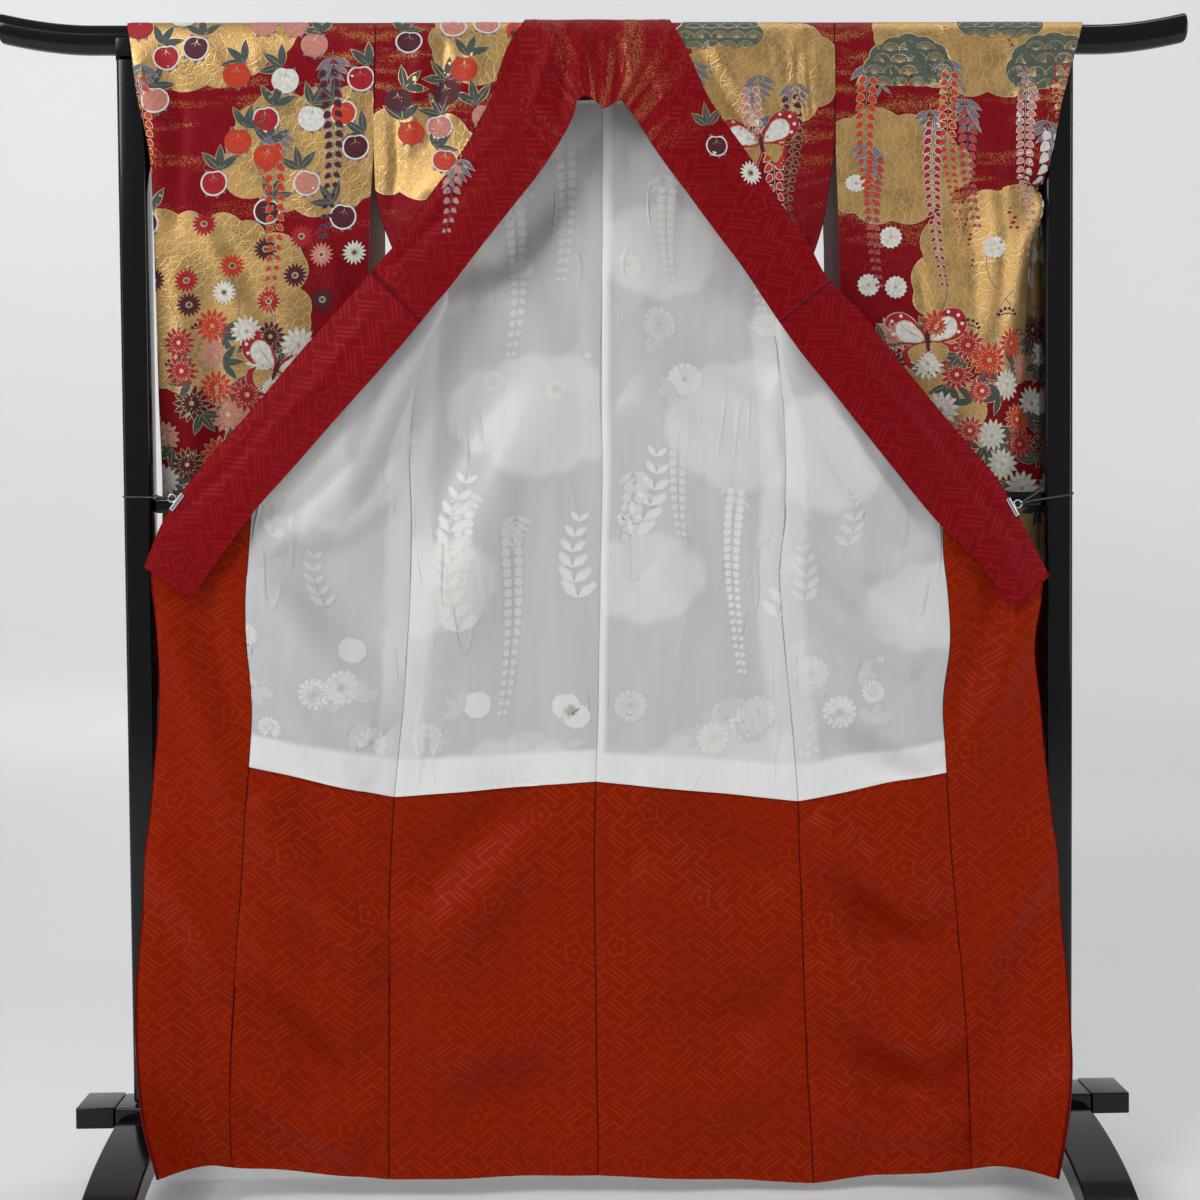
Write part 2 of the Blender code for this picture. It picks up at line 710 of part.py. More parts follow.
def build_bar():
    """Sweep the outline along the bar, with small rounded ends."""
    straight = BAR_HALF - BAR_TIP_LENGTH
    half = [straight + BAR_TIP_LENGTH * t for t in (0, 0.2, 0.4, 0.6, 0.8, 0.965, 1)]
    stations = [-x for x in half[::-1]] + half
    centre_z = BAR_TOP - BAR_HEIGHT / 2
    mesh_bm = bmesh.new()
    rings = []
    for x in stations:
        size = 0.86 if abs(x) > BAR_HALF - 1e-6 else 1.0
        ring = [mesh_bm.verts.new((x, y * size, centre_z + tip_rise(x) + z * size))
                for y, z in bar_outline()]
        rings.append(ring)
    count = len(rings[0])
    for first, second in zip(rings, rings[1:]):
        for i in range(count):
            j = (i + 1) % count
            mesh_bm.faces.new((first[i], first[j], second[j], second[i]))
    mesh_bm.faces.new(rings[0][::-1])
    mesh_bm.faces.new(rings[-1])
    add_object("bar", mesh_bm, "lacquer")


def build_post(side, sign):
    """Post with a slot at its top that takes the bar between two cheeks."""
    half_w, half_d = POST_WIDTH / 2, POST_DEPTH / 2
    x = sign * POST_X
    post = box("post_" + side, (x - half_w, -half_d, SHELF_TOP + FIT_GAP),
               (x + half_w, half_d, POST_TOP), "lacquer", 0.006, 3)
    slot_half = 16.5 * MM + FIT_GAP
    slot_bottom = BAR_TOP - BAR_HEIGHT - FIT_GAP
    cutter = box("slot_" + side, (x - 0.05, -slot_half, slot_bottom),
                 (x + 0.05, slot_half, POST_TOP + 0.05), "lacquer")
    cutter.hide_render = True
    cutter.display_type = "WIRE"
    cut = post.modifiers.new("bar slot", "BOOLEAN")
    cut.operation = "DIFFERENCE"
    cut.object = cutter


def foot_arc(reach, crest, low, high, count):
    """Depth and height of an elliptical arch, from one depth to another."""
    first, last = math.acos(low / reach), math.acos(high / reach)
    angles = [first + (last - first) * i / (count - 1) for i in range(count)]
    return [(reach * math.cos(a), crest * math.sin(a)) for a in angles]


def build_foot(side, sign, end, end_sign):
    """Half of an arched foot, from the shelf's face to its flat toe."""
    start = SHELF_DEPTH / 2 + FIT_GAP
    outer = foot_arc(FOOT_REACH, FOOT_CREST, start, FOOT_REACH - TOE_ROUND, 11)
    inner = foot_arc(FOOT_INNER_REACH, FOOT_INNER_CREST, start, FOOT_INNER_REACH, 9)
    toe = [(FOOT_REACH, 2 * TOE_ROUND), (FOOT_REACH - TOE_ROUND, 0)]
    inner[-1] = (FOOT_INNER_REACH, 0)
    half = FOOT_WIDTH / 2

    def place(corner, at):
        return (sign * POST_X + at, end_sign * corner[0], corner[1])

    foot = prism("foot_%s_%s" % (side, end), outer[:-1] + toe + inner[::-1], -half, half,
                 place, "lacquer")
    bevel = foot.modifiers.new("eased edges", "BEVEL")
    bevel.width = 0.0015
    bevel.segments = 1
    bevel.limit_method = "ANGLE"
    bevel.angle_limit = math.radians(60)


def build_stand():
    build_bar()
    inner_end = SHELF_HALF - CAP_LENGTH
    half_d = SHELF_DEPTH / 2
    box("shelf", (-inner_end + FIT_GAP, -half_d, SHELF_TOP - SHELF_HEIGHT),
        (inner_end - FIT_GAP, half_d, SHELF_TOP), "lacquer", 0.001, 1)
    rail_half = POST_X - POST_WIDTH / 2 - FIT_GAP
    box("middle_rail", (-rail_half, -RAIL_DEPTH / 2, RAIL_Z - RAIL_HEIGHT / 2),
        (rail_half, RAIL_DEPTH / 2, RAIL_Z + RAIL_HEIGHT / 2), "lacquer", 0.005, 2)
    for side, sign in (("left", -1), ("right", 1)):
        build_post(side, sign)
        ends = sorted((sign * inner_end, sign * SHELF_HALF))
        box("shelf_cap_" + side,
            (ends[0], -half_d - CAP_LIP, SHELF_TOP - SHELF_HEIGHT - CAP_LIP),
            (ends[1], half_d + CAP_LIP, SHELF_TOP + CAP_LIP), "lacquer", 0.001, 1)
        for end, end_sign in (("front", -1), ("back", 1)):
            build_foot(side, sign, end, end_sign)


# Clips and ties

def clip_frame(side):
    """Place of a clip: X runs along the band's edge, Y to the back, Z out from the cloth."""
    x, y, z, lean = CLIPS[side]
    sign = -1 if side == "left" else 1
    origin = Vector((x * MM, y * MM, z * MM))
    angle = math.radians(lean)
    along = Vector((math.sin(angle), 0, math.cos(angle)))
    outward = Vector((sign * math.cos(angle), 0, -sign * math.sin(angle)))
    return origin, along, outward


def build_clip(side):
    origin, along, outward = clip_frame(side)
    half_gap = JAW_GAP / 2
    half_all = half_gap + JAW_SHEET
    web = 0.0018
    outline = [(-JAW_REACH, -half_all), (web, -half_all), (web, half_all),
               (-JAW_REACH, half_all), (-JAW_REACH, half_gap), (web - JAW_SHEET, half_gap),
               (web - JAW_SHEET, -half_gap), (-JAW_REACH, -half_gap)]

    def place(corner, at):
        return origin + outward * corner[0] + Vector((0, corner[1], 0)) + along * at

    clip = prism("clip_" + side, outline, -JAW_LENGTH / 2, JAW_LENGTH / 2, place, "chrome")
    ring_bm = bmesh.new()
    centre = origin + outward * (web + RING_RADIUS + RING_WIRE * 0.4)
    rings = []
    turns, sides = 20, 8
    for i in range(turns):
        a = 2 * math.pi * i / turns
        spoke = outward * math.cos(a) + along * math.sin(a)
        ring = []
        for j in range(sides):
            b = 2 * math.pi * j / sides
            offset = spoke * (RING_RADIUS + RING_WIRE * math.cos(b))
            ring.append(ring_bm.verts.new(centre + offset + Vector((0, RING_WIRE * math.sin(b),
                                                                     0))))
        rings.append(ring)
    for i in range(turns):
        for j in range(sides):
            k, m = (i + 1) % turns, (j + 1) % sides
            ring_bm.faces.new((rings[i][j], rings[k][j], rings[k][m], rings[i][m]))
    loop = add_object("clip_ring_" + side, ring_bm, "chrome")
    loop.hide_render = True
    loop.display_type = "WIRE"
    join = clip.modifiers.new("ring", "BOOLEAN")
    join.operation = "UNION"
    join.object = loop
    return centre


def build_tie(side, sign, ring_centre):
    """Closed loop of round elastic, through the clip's ring and round the post."""
    out = POST_WIDTH / 2 + TIE_WIRE + 0.0004
    deep = POST_DEPTH / 2 + TIE_WIRE + 0.0004
    soft = 0.005
    over_rail = RAIL_Z + RAIL_HEIGHT / 2 + TIE_WIRE + 0.003
    lift = over_rail - ring_centre.z
    corners = [(out - soft, -deep), (out, -deep + soft), (out, deep - soft), (out - soft, deep),
               (-out + soft, deep), (-out, deep - soft), (-out, -deep + soft)]
    route = [ring_centre + Vector((sign * 0.003, -0.0035, 0)),
             ring_centre + Vector((sign * 0.020, -0.0010, lift * 0.2))]
    for share, (x, y) in zip((0.6, 0.7, 0.9, 1, 1, 1, 1), corners):
        route.append(Vector((sign * (POST_X + x), y, ring_centre.z + lift * share)))
    route += [ring_centre + Vector((sign * 0.016, 0.016, lift * 0.3)),
              ring_centre + Vector((sign * 0.003, 0.0035, 0))]
    curve = bpy.data.curves.new("tie_" + side, "CURVE")
    curve.dimensions = "3D"
    curve.bevel_depth = TIE_WIRE
    curve.bevel_resolution = 1
    spline = curve.splines.new("POLY")
    spline.points.add(len(route) - 1)
    for target, place in zip(spline.points, route):
        target.co = (*place, 1)
    spline.use_cyclic_u = True
    item = bpy.data.objects.new("tie_" + side, curve)
    bpy.context.scene.collection.objects.link(item)
    curve.materials.append(finish("elastic"))


clear_scene()
build_stand()
for side_name in ("left", "right"):
    build_body(side_name)
    build_sleeve(side_name)
build_collar()
for side_name, side_sign in (("left", -1), ("right", 1)):
    build_tie(side_name, side_sign, build_clip(side_name))
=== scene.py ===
"""Looks of a furisode hung open on a black lacquered kimono stand, lining side to the front.

Metres, +Z up, X to the right, Y away from the viewer. Section tables are in millimetres, one
row for each section of cloth, and follow the sections of the modelled solids.
"""
import math

import bmesh
import bpy
import numpy as np
from mathutils import Matrix, Vector
from mathutils.geometry import delaunay_2d_cdt


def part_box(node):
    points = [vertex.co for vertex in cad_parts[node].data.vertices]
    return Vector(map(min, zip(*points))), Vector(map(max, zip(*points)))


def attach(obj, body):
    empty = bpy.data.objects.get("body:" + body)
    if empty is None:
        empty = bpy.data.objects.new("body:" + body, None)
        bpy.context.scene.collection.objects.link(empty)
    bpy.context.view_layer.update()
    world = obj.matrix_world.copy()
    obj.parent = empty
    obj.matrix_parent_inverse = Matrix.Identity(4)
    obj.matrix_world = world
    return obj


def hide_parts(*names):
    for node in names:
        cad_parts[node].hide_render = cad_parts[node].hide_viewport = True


bl_info = {
    "name": "Furisode on a kimono stand",
    "version": (1, 0, 0),
    "blender": (4, 5, 0),
    "location": "3D View > Sidebar > Furisode",
    "description": "Silk panels, linings, prints, lacquered stand and studio of a hung furisode",
    "category": "Object",
}

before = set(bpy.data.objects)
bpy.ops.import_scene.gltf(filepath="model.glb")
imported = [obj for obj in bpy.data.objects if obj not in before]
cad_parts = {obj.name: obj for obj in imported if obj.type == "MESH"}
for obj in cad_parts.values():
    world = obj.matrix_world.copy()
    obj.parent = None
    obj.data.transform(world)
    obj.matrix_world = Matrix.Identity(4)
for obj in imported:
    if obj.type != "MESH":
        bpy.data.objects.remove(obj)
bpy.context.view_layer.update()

MM = 0.001

# Cloth: thickness of each layer and the gap kept between neighbours
OUTER_CLOTH = 1.2 * MM
LINING_CLOTH = 1.0 * MM
COLLAR_CLOTH = 1.6 * MM
LAYER_GAP = 0.3 * MM

# Distances from a seam that get a line of points of their own
SEAM_COLUMNS = (1.5 * MM, 4 * MM)

# Which way each side lies from the middle
SIGN = {"left": -1, "right": 1}
UP = (0, 0, 1)

# Narrowest crease that the cloth's points can carry, in millimetres
NARROWEST = 8.0

# Stand
BAR_HALF = 0.820
BAR_TOP = 1.620
BAR_HEIGHT = 0.040
BAR_TIP_LENGTH = 0.125
BAR_TIP_RISE = 0.0165
POST_X = 0.640
POST_WIDTH = 0.039
POST_DEPTH = 0.040
POST_FOOT = 0.125
POST_TOP = 1.599
POST_ROUND = 0.006
# Half the slot between a post's cheeks, how far the cheeks run down into the post, and the
# round of their edges
SLOT_HALF = 0.0168
CHEEK_ROOT = 0.012
CHEEK_ROUND = 0.0014
RAIL_Z = 0.960
RAIL_HEIGHT = 0.021
SHELF_DEPTH = 0.069
FOOT_WIDTH = 0.070
FOOT_REACH = 0.315
FOOT_CREST = 0.112
FOOT_INNER_REACH = 0.268
FOOT_INNER_CREST = 0.076
TOE_ROUND = 0.004
FIT_GAP = 0.3 * MM

# Clips and ties
JAW_LENGTH = 0.027
JAW_GAP = 0.0080
JAW_REACH = 0.0045
JAW_SHEET = 0.0011
JAW_WEB = 0.0018
RING_RADIUS = 0.0052
RING_WIRE = 0.0011
TIE_WIRE = 0.0010
TIE_CLEARANCE = 0.0004
TIE_BEND = 0.003
# From the clip's origin out to the middle of its ring
RING_OUT = JAW_WEB + RING_RADIUS + RING_WIRE * 0.4

# Camera: place, how far it looks to the right, down and leans, and its lens on a 36 mm sensor
CAMERA_PLACE = (-0.061, -2.5, 0.912)
CAMERA_YAW = 0.02347
CAMERA_DOWN = 0.03534
CAMERA_LEAN = -0.0077
CAMERA_LENS = 53.571

# Outer face of the cloth where it lies on the crown of the bar
CROWN = BAR_TOP + 3 * MM

# How far the outer face is from the crown line on the first rows: depth, drop
OVER_BAR = ((0.4, 0), (10, 1.8), (17.5, 9), (24.5, 26))

# Rows of the body sections, from the shoulder fold to the hem
BAR_ROWS = 4
UNDERARM = 9
OKUMI_TOP = 11
BAND_END = 15
LINING_EDGE = 18
HEM = 24
OVER_COLLAR_END = {"left": 9, "right": 8}
FRONT_LINING_TOP = 8

# side_x, side_z, seam_x, seam_z, free_x, free_z: armhole or side seam, collar seam (from the
# band's end down, the okumi's own edge) and the collar's free edge. Rows 4 to 24.
EDGES = {
    "left": (
        (-307, 1511, -151, 1503, -77, 1414),
        (-308, 1444, -188, 1436, -111, 1370),
        (-304, 1370, -237, 1369, -163, 1304),
        (-293, 1332, -271, 1317, -209, 1244),
        (-276, 1291, -291, 1293, -225, 1225),
        (-250, 1239, -309, 1273, -242, 1203),
        (-255, 1170, -359, 1217, -290, 1147),
        (-259, 1095, -413, 1156, -354, 1076),
        (-264, 1020, -474, 1084, -419, 1003),
        (-262, 937, -535, 1016, -469, 948),
        (-263, 875, -590, 942, -520, 882),
        (-265, 820, -620, 876, -559, 831),
        (-269, 759, -605, 783),
        (-277, 669, -606, 697),
        (-289, 556, -615, 598),
        (-294, 483, -625, 509),
        (-298, 379, -635, 399),
        (-299, 268, -642, 285),
        (-300, 164, -633, 194),
        (-301, 82, -610, 133),
        (-301, 29, -590, 79),
    ),
    "right": (
        (326, 1510, 154, 1506, 78, 1437),
        (325, 1442, 200, 1439, 123, 1374),
        (316, 1385, 249, 1362, 164, 1316),
        (308, 1339, 281, 1313, 191, 1278),
        (284, 1275, 312, 1257, 242, 1200),
        (243, 1212, 355, 1214, 272, 1157),
        (245, 1165, 394, 1163, 305, 1115),
        (252, 1092, 437, 1109, 341, 1068),
        (255, 1016, 488, 1046, 389, 1007),
        (252, 933, 542, 981, 456, 926),
        (246, 871, 578, 916, 514, 870),
        (247, 816, 611, 854, 557, 808),
        (252, 754, 592, 766),
        (260, 664, 602, 683),
        (269, 544, 613, 582),
        (271, 469, 624, 488),
        (274, 364, 634, 376),
        (277, 260, 640, 267),
        (280, 156, 634, 175),
        (284, 73, 609, 114),
        (286, 14, 593, 61),
    ),
}

# side_x, seam_x, free_x, free_z on the crown and the three rows below it
SHOULDER = {
    "left": ((-307, -96, -29, 1508), (-306, -99, -30, 1505),
             (-305, -104, -31, 1499), (-305, -115, -34, 1484)),
    "right": ((329, 97, 32, 1509), (328, 99, 33, 1506),
              (327, 103, 37, 1501), (326, 112, 46, 1488)),
}

# valley_x, valley_z, roll_x, roll_z, mid_x, mid_z: where the front panel turns back on itself
# behind the band and its lining rolls out to the front. Rows 6 to 15.
TURN_TOP = 6
TURN = {
    "left": (
        (-286, 1370, -266, 1370, -250, 1370),
        (-282, 1330, -267, 1324, -268, 1320),
        (-256, 1286, -229, 1283, -259, 1289),
        (-230, 1241, -209, 1246, -250, 1261),
        (-249, 1170, -234, 1182, -292, 1200),
        (-262, 1096, -268, 1119, -339, 1137),
        (-296, 1020, -320, 1034, -390, 1056),
        (-345, 927, -385, 940, -428, 965),
        (-352, 863, -414, 873, -450, 890),
        (-352, 812, -412, 818, -449, 827),
    ),
    "right": (
        (298, 1380, 280, 1374, 263, 1368),
        (297, 1335, 279, 1329, 279, 1321),
        (276, 1273, 262, 1269, 285, 1264),
        (251, 1214, 250, 1219, 299, 1221),
        (249, 1167, 260, 1150, 325, 1161),
        (260, 1091, 280, 1090, 358, 1098),
        (269, 1013, 314, 1014, 398, 1029),
        (273, 930, 362, 932, 419, 955),
        (292, 867, 385, 877, 426, 883),
        (313, 813, 387, 818, 432, 825),
    ),
}

# seam_x, seam_z of the seam between the front panel and the okumi. Rows 12 to 24.
OKUMI_SEAM = {
    "left": ((-458, 1073), (-470, 984), (-478, 903), (-484, 836), (-485, 782), (-479, 696),
             (-485, 602), (-492, 515), (-501, 405), (-511, 281), (-516, 177), (-517, 94),
             (-514, 52)),
    "right": ((473, 1040), (465, 969), (464, 897), (472, 833), (476, 767), (467, 684),
              (472, 584), (477, 490), (487, 379), (496, 267), (502, 162), (504, 78),
              (505, 34)),
}

# side, valley, roll, mid, okumi, seam, free, back_side, back_centre: depth of the outer face.
# Rows 4 to 24.
DEPTHS = (
    (-29, -30, -32, -34, -36, -36, -50, 26, 22),
    (-29, -32, -36, -39, -42, -42, -57, 22, 20),
    (-29, -31, -34, -41, -52, -52, -65, 14, 12),
    (-30, -32, -36, -47, -59, -59, -73, 2, 8),
    (-32, -41, -43, -53, -64, -64, -79, -12, 6),
    (-30, -46, -59, -63, -64, -64, -84, -30, 2),
    (-31, -46, -66, -67, -66, -66, -89, -31, -2),
    (-33, -49, -71, -72, -69, -69, -93, -33, -8),
    (-35, -47, -73, -75, -72, -72, -95, -35, -14),
    (-38, -49, -70, -75, -74, -74, -94, -38, -18),
    (-40, -54, -65, -71, -73, -74, -89, -40, -20),
    (-41, -54, -62, -67, -69, -70, -82, -41, -22),
    (-42, -53, -58, -63, -66, -64, 0, -42, -26),
    (-43, -52, -56, -60, -63, -60, 0, -43, -30),
    (-44, -51, -54, -58, -60, -57, 0, -44, -33),
    (-45, -52, -52, -58, -60, -56, 0, -45, -36),
    (-46, -53, -50, -58, -60, -56, 0, -46, -38),
    (-48, -54, -50, -60, -60, -72, 0, -48, -42),
    (-52, -56, -52, -62, -62, -108, 0, -52, -46),
    (-56, -58, -56, -62, -66, -170, 0, -56, -52),
    (-60, -56, -60, -64, -70, -190, 0, -60, -58),
)

# centre_x, centre_z of the centre back seam. Rows 4 to 24.
CENTRE_BACK = ((6, 1523), (6, 1453), (5, 1377), (5, 1337), (4, 1295), (4, 1242), (3, 1172),
               (2, 1095), (2, 1019), (0, 935), (-2, 873), (-3, 817), (-5, 755), (-7, 665),
               (-11, 573), (-14, 478), (-14, 373), (-13, 262), (-13, 158), (-12, 76),
               (-13, 29))

# Large soft folds that hang in the lower cloth: piece, place across it from the centre or the
# side seam outwards, half width, depth, and the first and last row
FOLDS = (
    ("back_left", 0.35, 0.16, 5, 10, 24),
    ("back_left", 0.72, 0.14, -5, 12, 24),
    ("back_right", 0.30, 0.15, -4, 10, 24),
    ("back_right", 0.70, 0.15, 6, 12, 24),
    ("front_left", 0.30, 0.14, -5, 16, 24),
    ("front_left", 0.72, 0.13, 5, 16, 24),
    ("front_right", 0.35, 0.14, 6, 16, 24),
    ("front_right", 0.75, 0.12, -5, 16, 24),
)

# The collar's way round the bar at the neck: run from the crown, depth, height over the crown
NECK_WRAP = ((-60, 31, -44), (-42, 28.8, -25.2), (-23, 21.4, -6.6), (-11, 11.8, 2.4),
             (0, 0, 4.5), (11, -11.8, 2.4), (23, -21.4, -6.6), (42, -28.8, -25.2),
             (150, -40, -134))
# How far below the crown the collar's seam and its free edge lie, and their runs there
SEAM_RUNS = ((0, 1.8, 9, 26), (1, 11, 23, 41))
FREE_EDGE_RUNS = ((27, 134), (42, 150))
# x of the seam and the free edge, run of the seam, height of the free edge: neck sections
# from the left shoulder to the right one
NECK = ((-77, -25, -9, 1511), (-50, -17, -20, 1515), (-23, -6, -27, 1509), (3, 6, -30, 1498),
        (29, 14, -27, 1500), (54, 19, -20, 1503), (78, 26, -9, 1507))
COLLAR_STATIONS = (0, 0.06, 0.12, 0.18, 0.25, 0.33, 0.45, 0.62, 0.8, 1)
COLLAR_BULGE = 3 * MM
# How far the collar's outer face lies in front of the panel's at their seam
COLLAR_LAP_OPEN = 1.9 * MM
COLLAR_LAP_FOLDED = 4.8 * MM

# z, outer_x, outer_y, inner_x, inner_y of the front wall and outer_x, outer_y, inner_x,
# inner_y of the back wall
SLEEVES = {
    "left": (
        (1511, -628, -27, -307, -29, -642, 26, -307, 26),
        (1444, -615, -20, -308, -29, -622, 23, -308, 22),
        (1376, -614, -10, -313, -26, -615, -7, -300, 30),
        (1309, -614, -5, -316, -22, -615, -2, -299, 32),
        (1242, -614, 0, -320, -14, -615, 3, -300, 34),
        (1105, -614, 8, -323, 4, -615, 11, -302, 36),
        (985, -613, 17, -326, 17, -614, 20, -304, 38),
        (870, -617, 21, -331, 18, -618, 24, -308, 38),
        (769, -620, 23, -335, 20, -621, 26, -314, 36),
        (687, -615, 24, -339, 22, -616, 27, -322, 34),
        (616, -594, 25, -343, 23, -595, 28, -332, 30),
        (578, -550, 26, -350, 24, -551, 29, -346, 27),
    ),
    "right": (
        (1510, 640, -31, 326, -29, 655, 27, 326, 26),
        (1415, 619.5, -33, 327, -28, 637, 29, 325, 27),
        (1376, 612, -33, 329, -26, 634, 29, 318, 30),
        (1309, 592, -32, 331, -22, 632, 29, 318, 32),
        (1242, 580, -29, 334, -16, 630, 29, 319, 34),
        (1105, 552, -18, 338, -2, 630, 29, 321, 36),
        (985, 542, 17, 340, 17, 632, 30, 324, 38),
        (870, 560, 20, 342, 18, 640, 31, 328, 38),
        (769, 590, 23, 346, 20, 650, 32, 334, 37),
        (687, 626, 24, 350, 22, 664, 32, 340, 35),
        (616, 640, 25, 354, 23, 668, 32, 348, 31),
        (578, 620, 26, 362, 24, 640, 31, 358, 28),
    ),
}
SLEEVE_SHOULDER_X = {"left": (-647, -645, -643, -639), "right": (676, 674, 671, 665)}
SLEEVE_SEAM_GAP = 0.5 * MM
# Below this row the right sleeve's front has turned back inside the post, as far out as x
SLEEVE_TURNS_ROW = 6
SLEEVE_INSIDE_POST = 617
SLEEVE_BELLY = 9 * MM

# Clip and tie at each collar end: clip_x, clip_y, clip_z, lean of the clip in degrees
CLIPS = {"left": (-574, -77.0, 964, 37), "right": (560, -77.0, 949, -29)}

# Stations across the okumi, the back panel and the sleeve, as shares of their width
OKUMI_STATIONS = (0, 0.35, 0.7, 1)
BACK_STATIONS = (0, 0.16, 0.32, 0.49, 0.66, 0.83, 1)
SLEEVE_SHARES = (0, 0.2, 0.4, 0.6, 0.8, 0.93, 1)


# Cloth sections

def point(x, y, z):
    return np.array((x, y, z), dtype=float) * MM


def unit(vectors):
    return vectors / np.maximum(np.linalg.norm(vectors, axis=-1, keepdims=True), 1e-9)


def spread(stations):
    """Insert one smooth point between each two stations of a row."""
    stations = np.asarray(stations)
    out = [stations[0]]
    last = len(stations) - 1
    for i in range(last):
        before = stations[max(i - 1, 0)]
        after = stations[min(i + 2, last)]
        middle = (stations[i] + stations[i + 1]) * 0.5625 - (before + after) * 0.0625
        out += [middle, stations[i + 1]]
    return np.array(out)


def edge_row(side, row):
    return EDGES[side][row - BAR_ROWS]


def depth_row(row):
    return DEPTHS[row - BAR_ROWS]


def collar_seam(side, row):
    """Where the collar, or lower down the okumi's edge, meets the section's end."""
    if row < BAR_ROWS:
        depth, drop = OVER_BAR[row]
        return point(SHOULDER[side][row][1], -depth, CROWN / MM - drop)
    x, z = edge_row(side, row)[2:4]
    return point(x, depth_row(row)[5], z)


def side_edge(side, row, back=False):
    """Armhole edge above the underarm and side seam below it."""
    if row < BAR_ROWS:
        depth, drop = OVER_BAR[row]
        return point(SHOULDER[side][row][0], depth if back else -depth, CROWN / MM - drop)
    x, z = edge_row(side, row)[:2]
    return point(x, depth_row(row)[7 if back else 0], z)


def okumi_seam(side, row):
    if row < OKUMI_TOP:
        return collar_seam(side, row)
    if row == OKUMI_TOP:
        top = collar_seam(side, row)
        return top + unit(side_edge(side, row) - top) * 3 * MM
    x, z = OKUMI_SEAM[side][row - OKUMI_TOP - 1]
    return point(x, depth_row(row)[4], z)


def front_section(side, row):
    start, end = side_edge(side, row), okumi_seam(side, row)
    if TURN_TOP <= row <= BAND_END:
        turn = TURN[side][row - TURN_TOP]
        depths = depth_row(row)[1:4]
        middle = [point(turn[2 * i], depths[i], turn[2 * i + 1]) for i in range(3)]
    else:
        middle = [start + (end - start) * t for t in (0.25, 0.5, 0.75)]
        if row > BAND_END:
            for station, depth in zip(middle, depth_row(row)[1:4]):
                station[1] = depth * MM
    return spread([start, *middle, end])


def okumi_section(side, row):
    start = okumi_seam(side, row)
    end = collar_seam(side, row)
    if row == BAND_END:
        end = end + (start - end) * 0.06
    section = []
    for share in OKUMI_STATIONS:
        place = start + (end - start) * share
        if row > BAND_END:
            place[1] = start[1] + (end[1] - start[1]) * share ** 1.8
        section.append(place)
    return np.array(section)


def back_section(side, row):
    end = side_edge(side, row, back=True)
    if row < BAR_ROWS:
        start = np.array((4 * MM, end[1], end[2]))
        return np.array([start + (end - start) * share for share in BACK_STATIONS])
    x, z = CENTRE_BACK[row - BAR_ROWS]
    start = point(x, depth_row(row)[8], z)
    section = []
    for share in BACK_STATIONS:
        place = start + (end - start) * share
        place[1] = start[1] + (end[1] - start[1]) * share ** 2
        section.append(place)
    return np.array(section)


def add_folds(name, grid):
    """Lay the large soft folds into a panel's sections."""
    columns = grid.shape[1]
    for panel, place, width, depth, first, last in FOLDS:
        if panel != name:
            continue
        for row in range(first, last + 1):
            fade = min(1.0, (row - first) / 3)
            for column in range(1, columns - 1):
                share = column / (columns - 1)
                swell = math.exp(-((share - place) / width) ** 2)
                swell *= math.sin(math.pi * share) ** 0.5
                grid[row, column, 1] += depth * MM * swell * fade
    return grid


def wrap_row(seam_x, free_x, run_start, free_z):
    """One section of the collar where it goes over the bar."""
    runs, depths, heights = zip(*NECK_WRAP)
    run_end = float(np.interp(-(free_z - CROWN / MM), *FREE_EDGE_RUNS))
    section = []
    for share in COLLAR_STATIONS:
        run = run_start + (run_end - run_start) * share
        x = seam_x + (free_x - seam_x) * share ** 1.2
        section.append(point(x, np.interp(run, runs, depths),
                             CROWN / MM + np.interp(run, runs, heights)))
    return section


def collar_section(side, row):
    if row < BAR_ROWS:
        _, seam_x, free_x, free_z = SHOULDER[side][row]
        run_start = np.interp(OVER_BAR[row][1], *SEAM_RUNS)
        return wrap_row(seam_x, free_x, run_start, free_z)
    folded = np.clip((row - 6) / 2, 0, 1)
    lap = COLLAR_LAP_OPEN + (COLLAR_LAP_FOLDED - COLLAR_LAP_OPEN) * folded
    start = collar_seam(side, row) - np.array((0, lap, 0))
    x, z = edge_row(side, row)[4:]
    end = point(x, depth_row(row)[6], z)
    section = []
    for share in COLLAR_STATIONS:
        place = start + (end - start) * share
        place[1] -= COLLAR_BULGE * math.sin(math.pi * share)
        section.append(place)
    return section


def sleeve_section(side, row, wall_name):
    """One section of a sleeve's front or back wall, from its seam out to the cuff edge."""
    sign = SIGN[side]
    front = wall_name == "front"
    if row < BAR_ROWS:
        depth, drop = OVER_BAR[row]
        depth = -depth if front else depth
        inner = point(SHOULDER[side][row][0], depth, CROWN / MM - drop)
        outer = point(SLEEVE_SHOULDER_X[side][row], depth, CROWN / MM - drop)
        belly = 0.0
    else:
        z, *places = SLEEVES[side][row - BAR_ROWS]
        outer_x, outer_y, inner_x, inner_y = places[:4] if front else places[4:]
        inner = point(inner_x, inner_y, z)
        outer = point(outer_x, outer_y, z)
        last = BAR_ROWS + len(SLEEVES[side]) - 1
        belly = SLEEVE_BELLY * min(1, (row - BAR_ROWS) / 2, (last - row) / 3)
        belly *= 0.0 if front else 1.0
    inner[0] += sign * SLEEVE_SEAM_GAP
    section = []
    for share in SLEEVE_SHARES:
        place = inner + (outer - inner) * share
        place[1] += belly * math.sin(math.pi * share)
        section.append(place)
    if side == "right" and front and row >= SLEEVE_TURNS_ROW:
        section = fold_back(section, row)
    return section


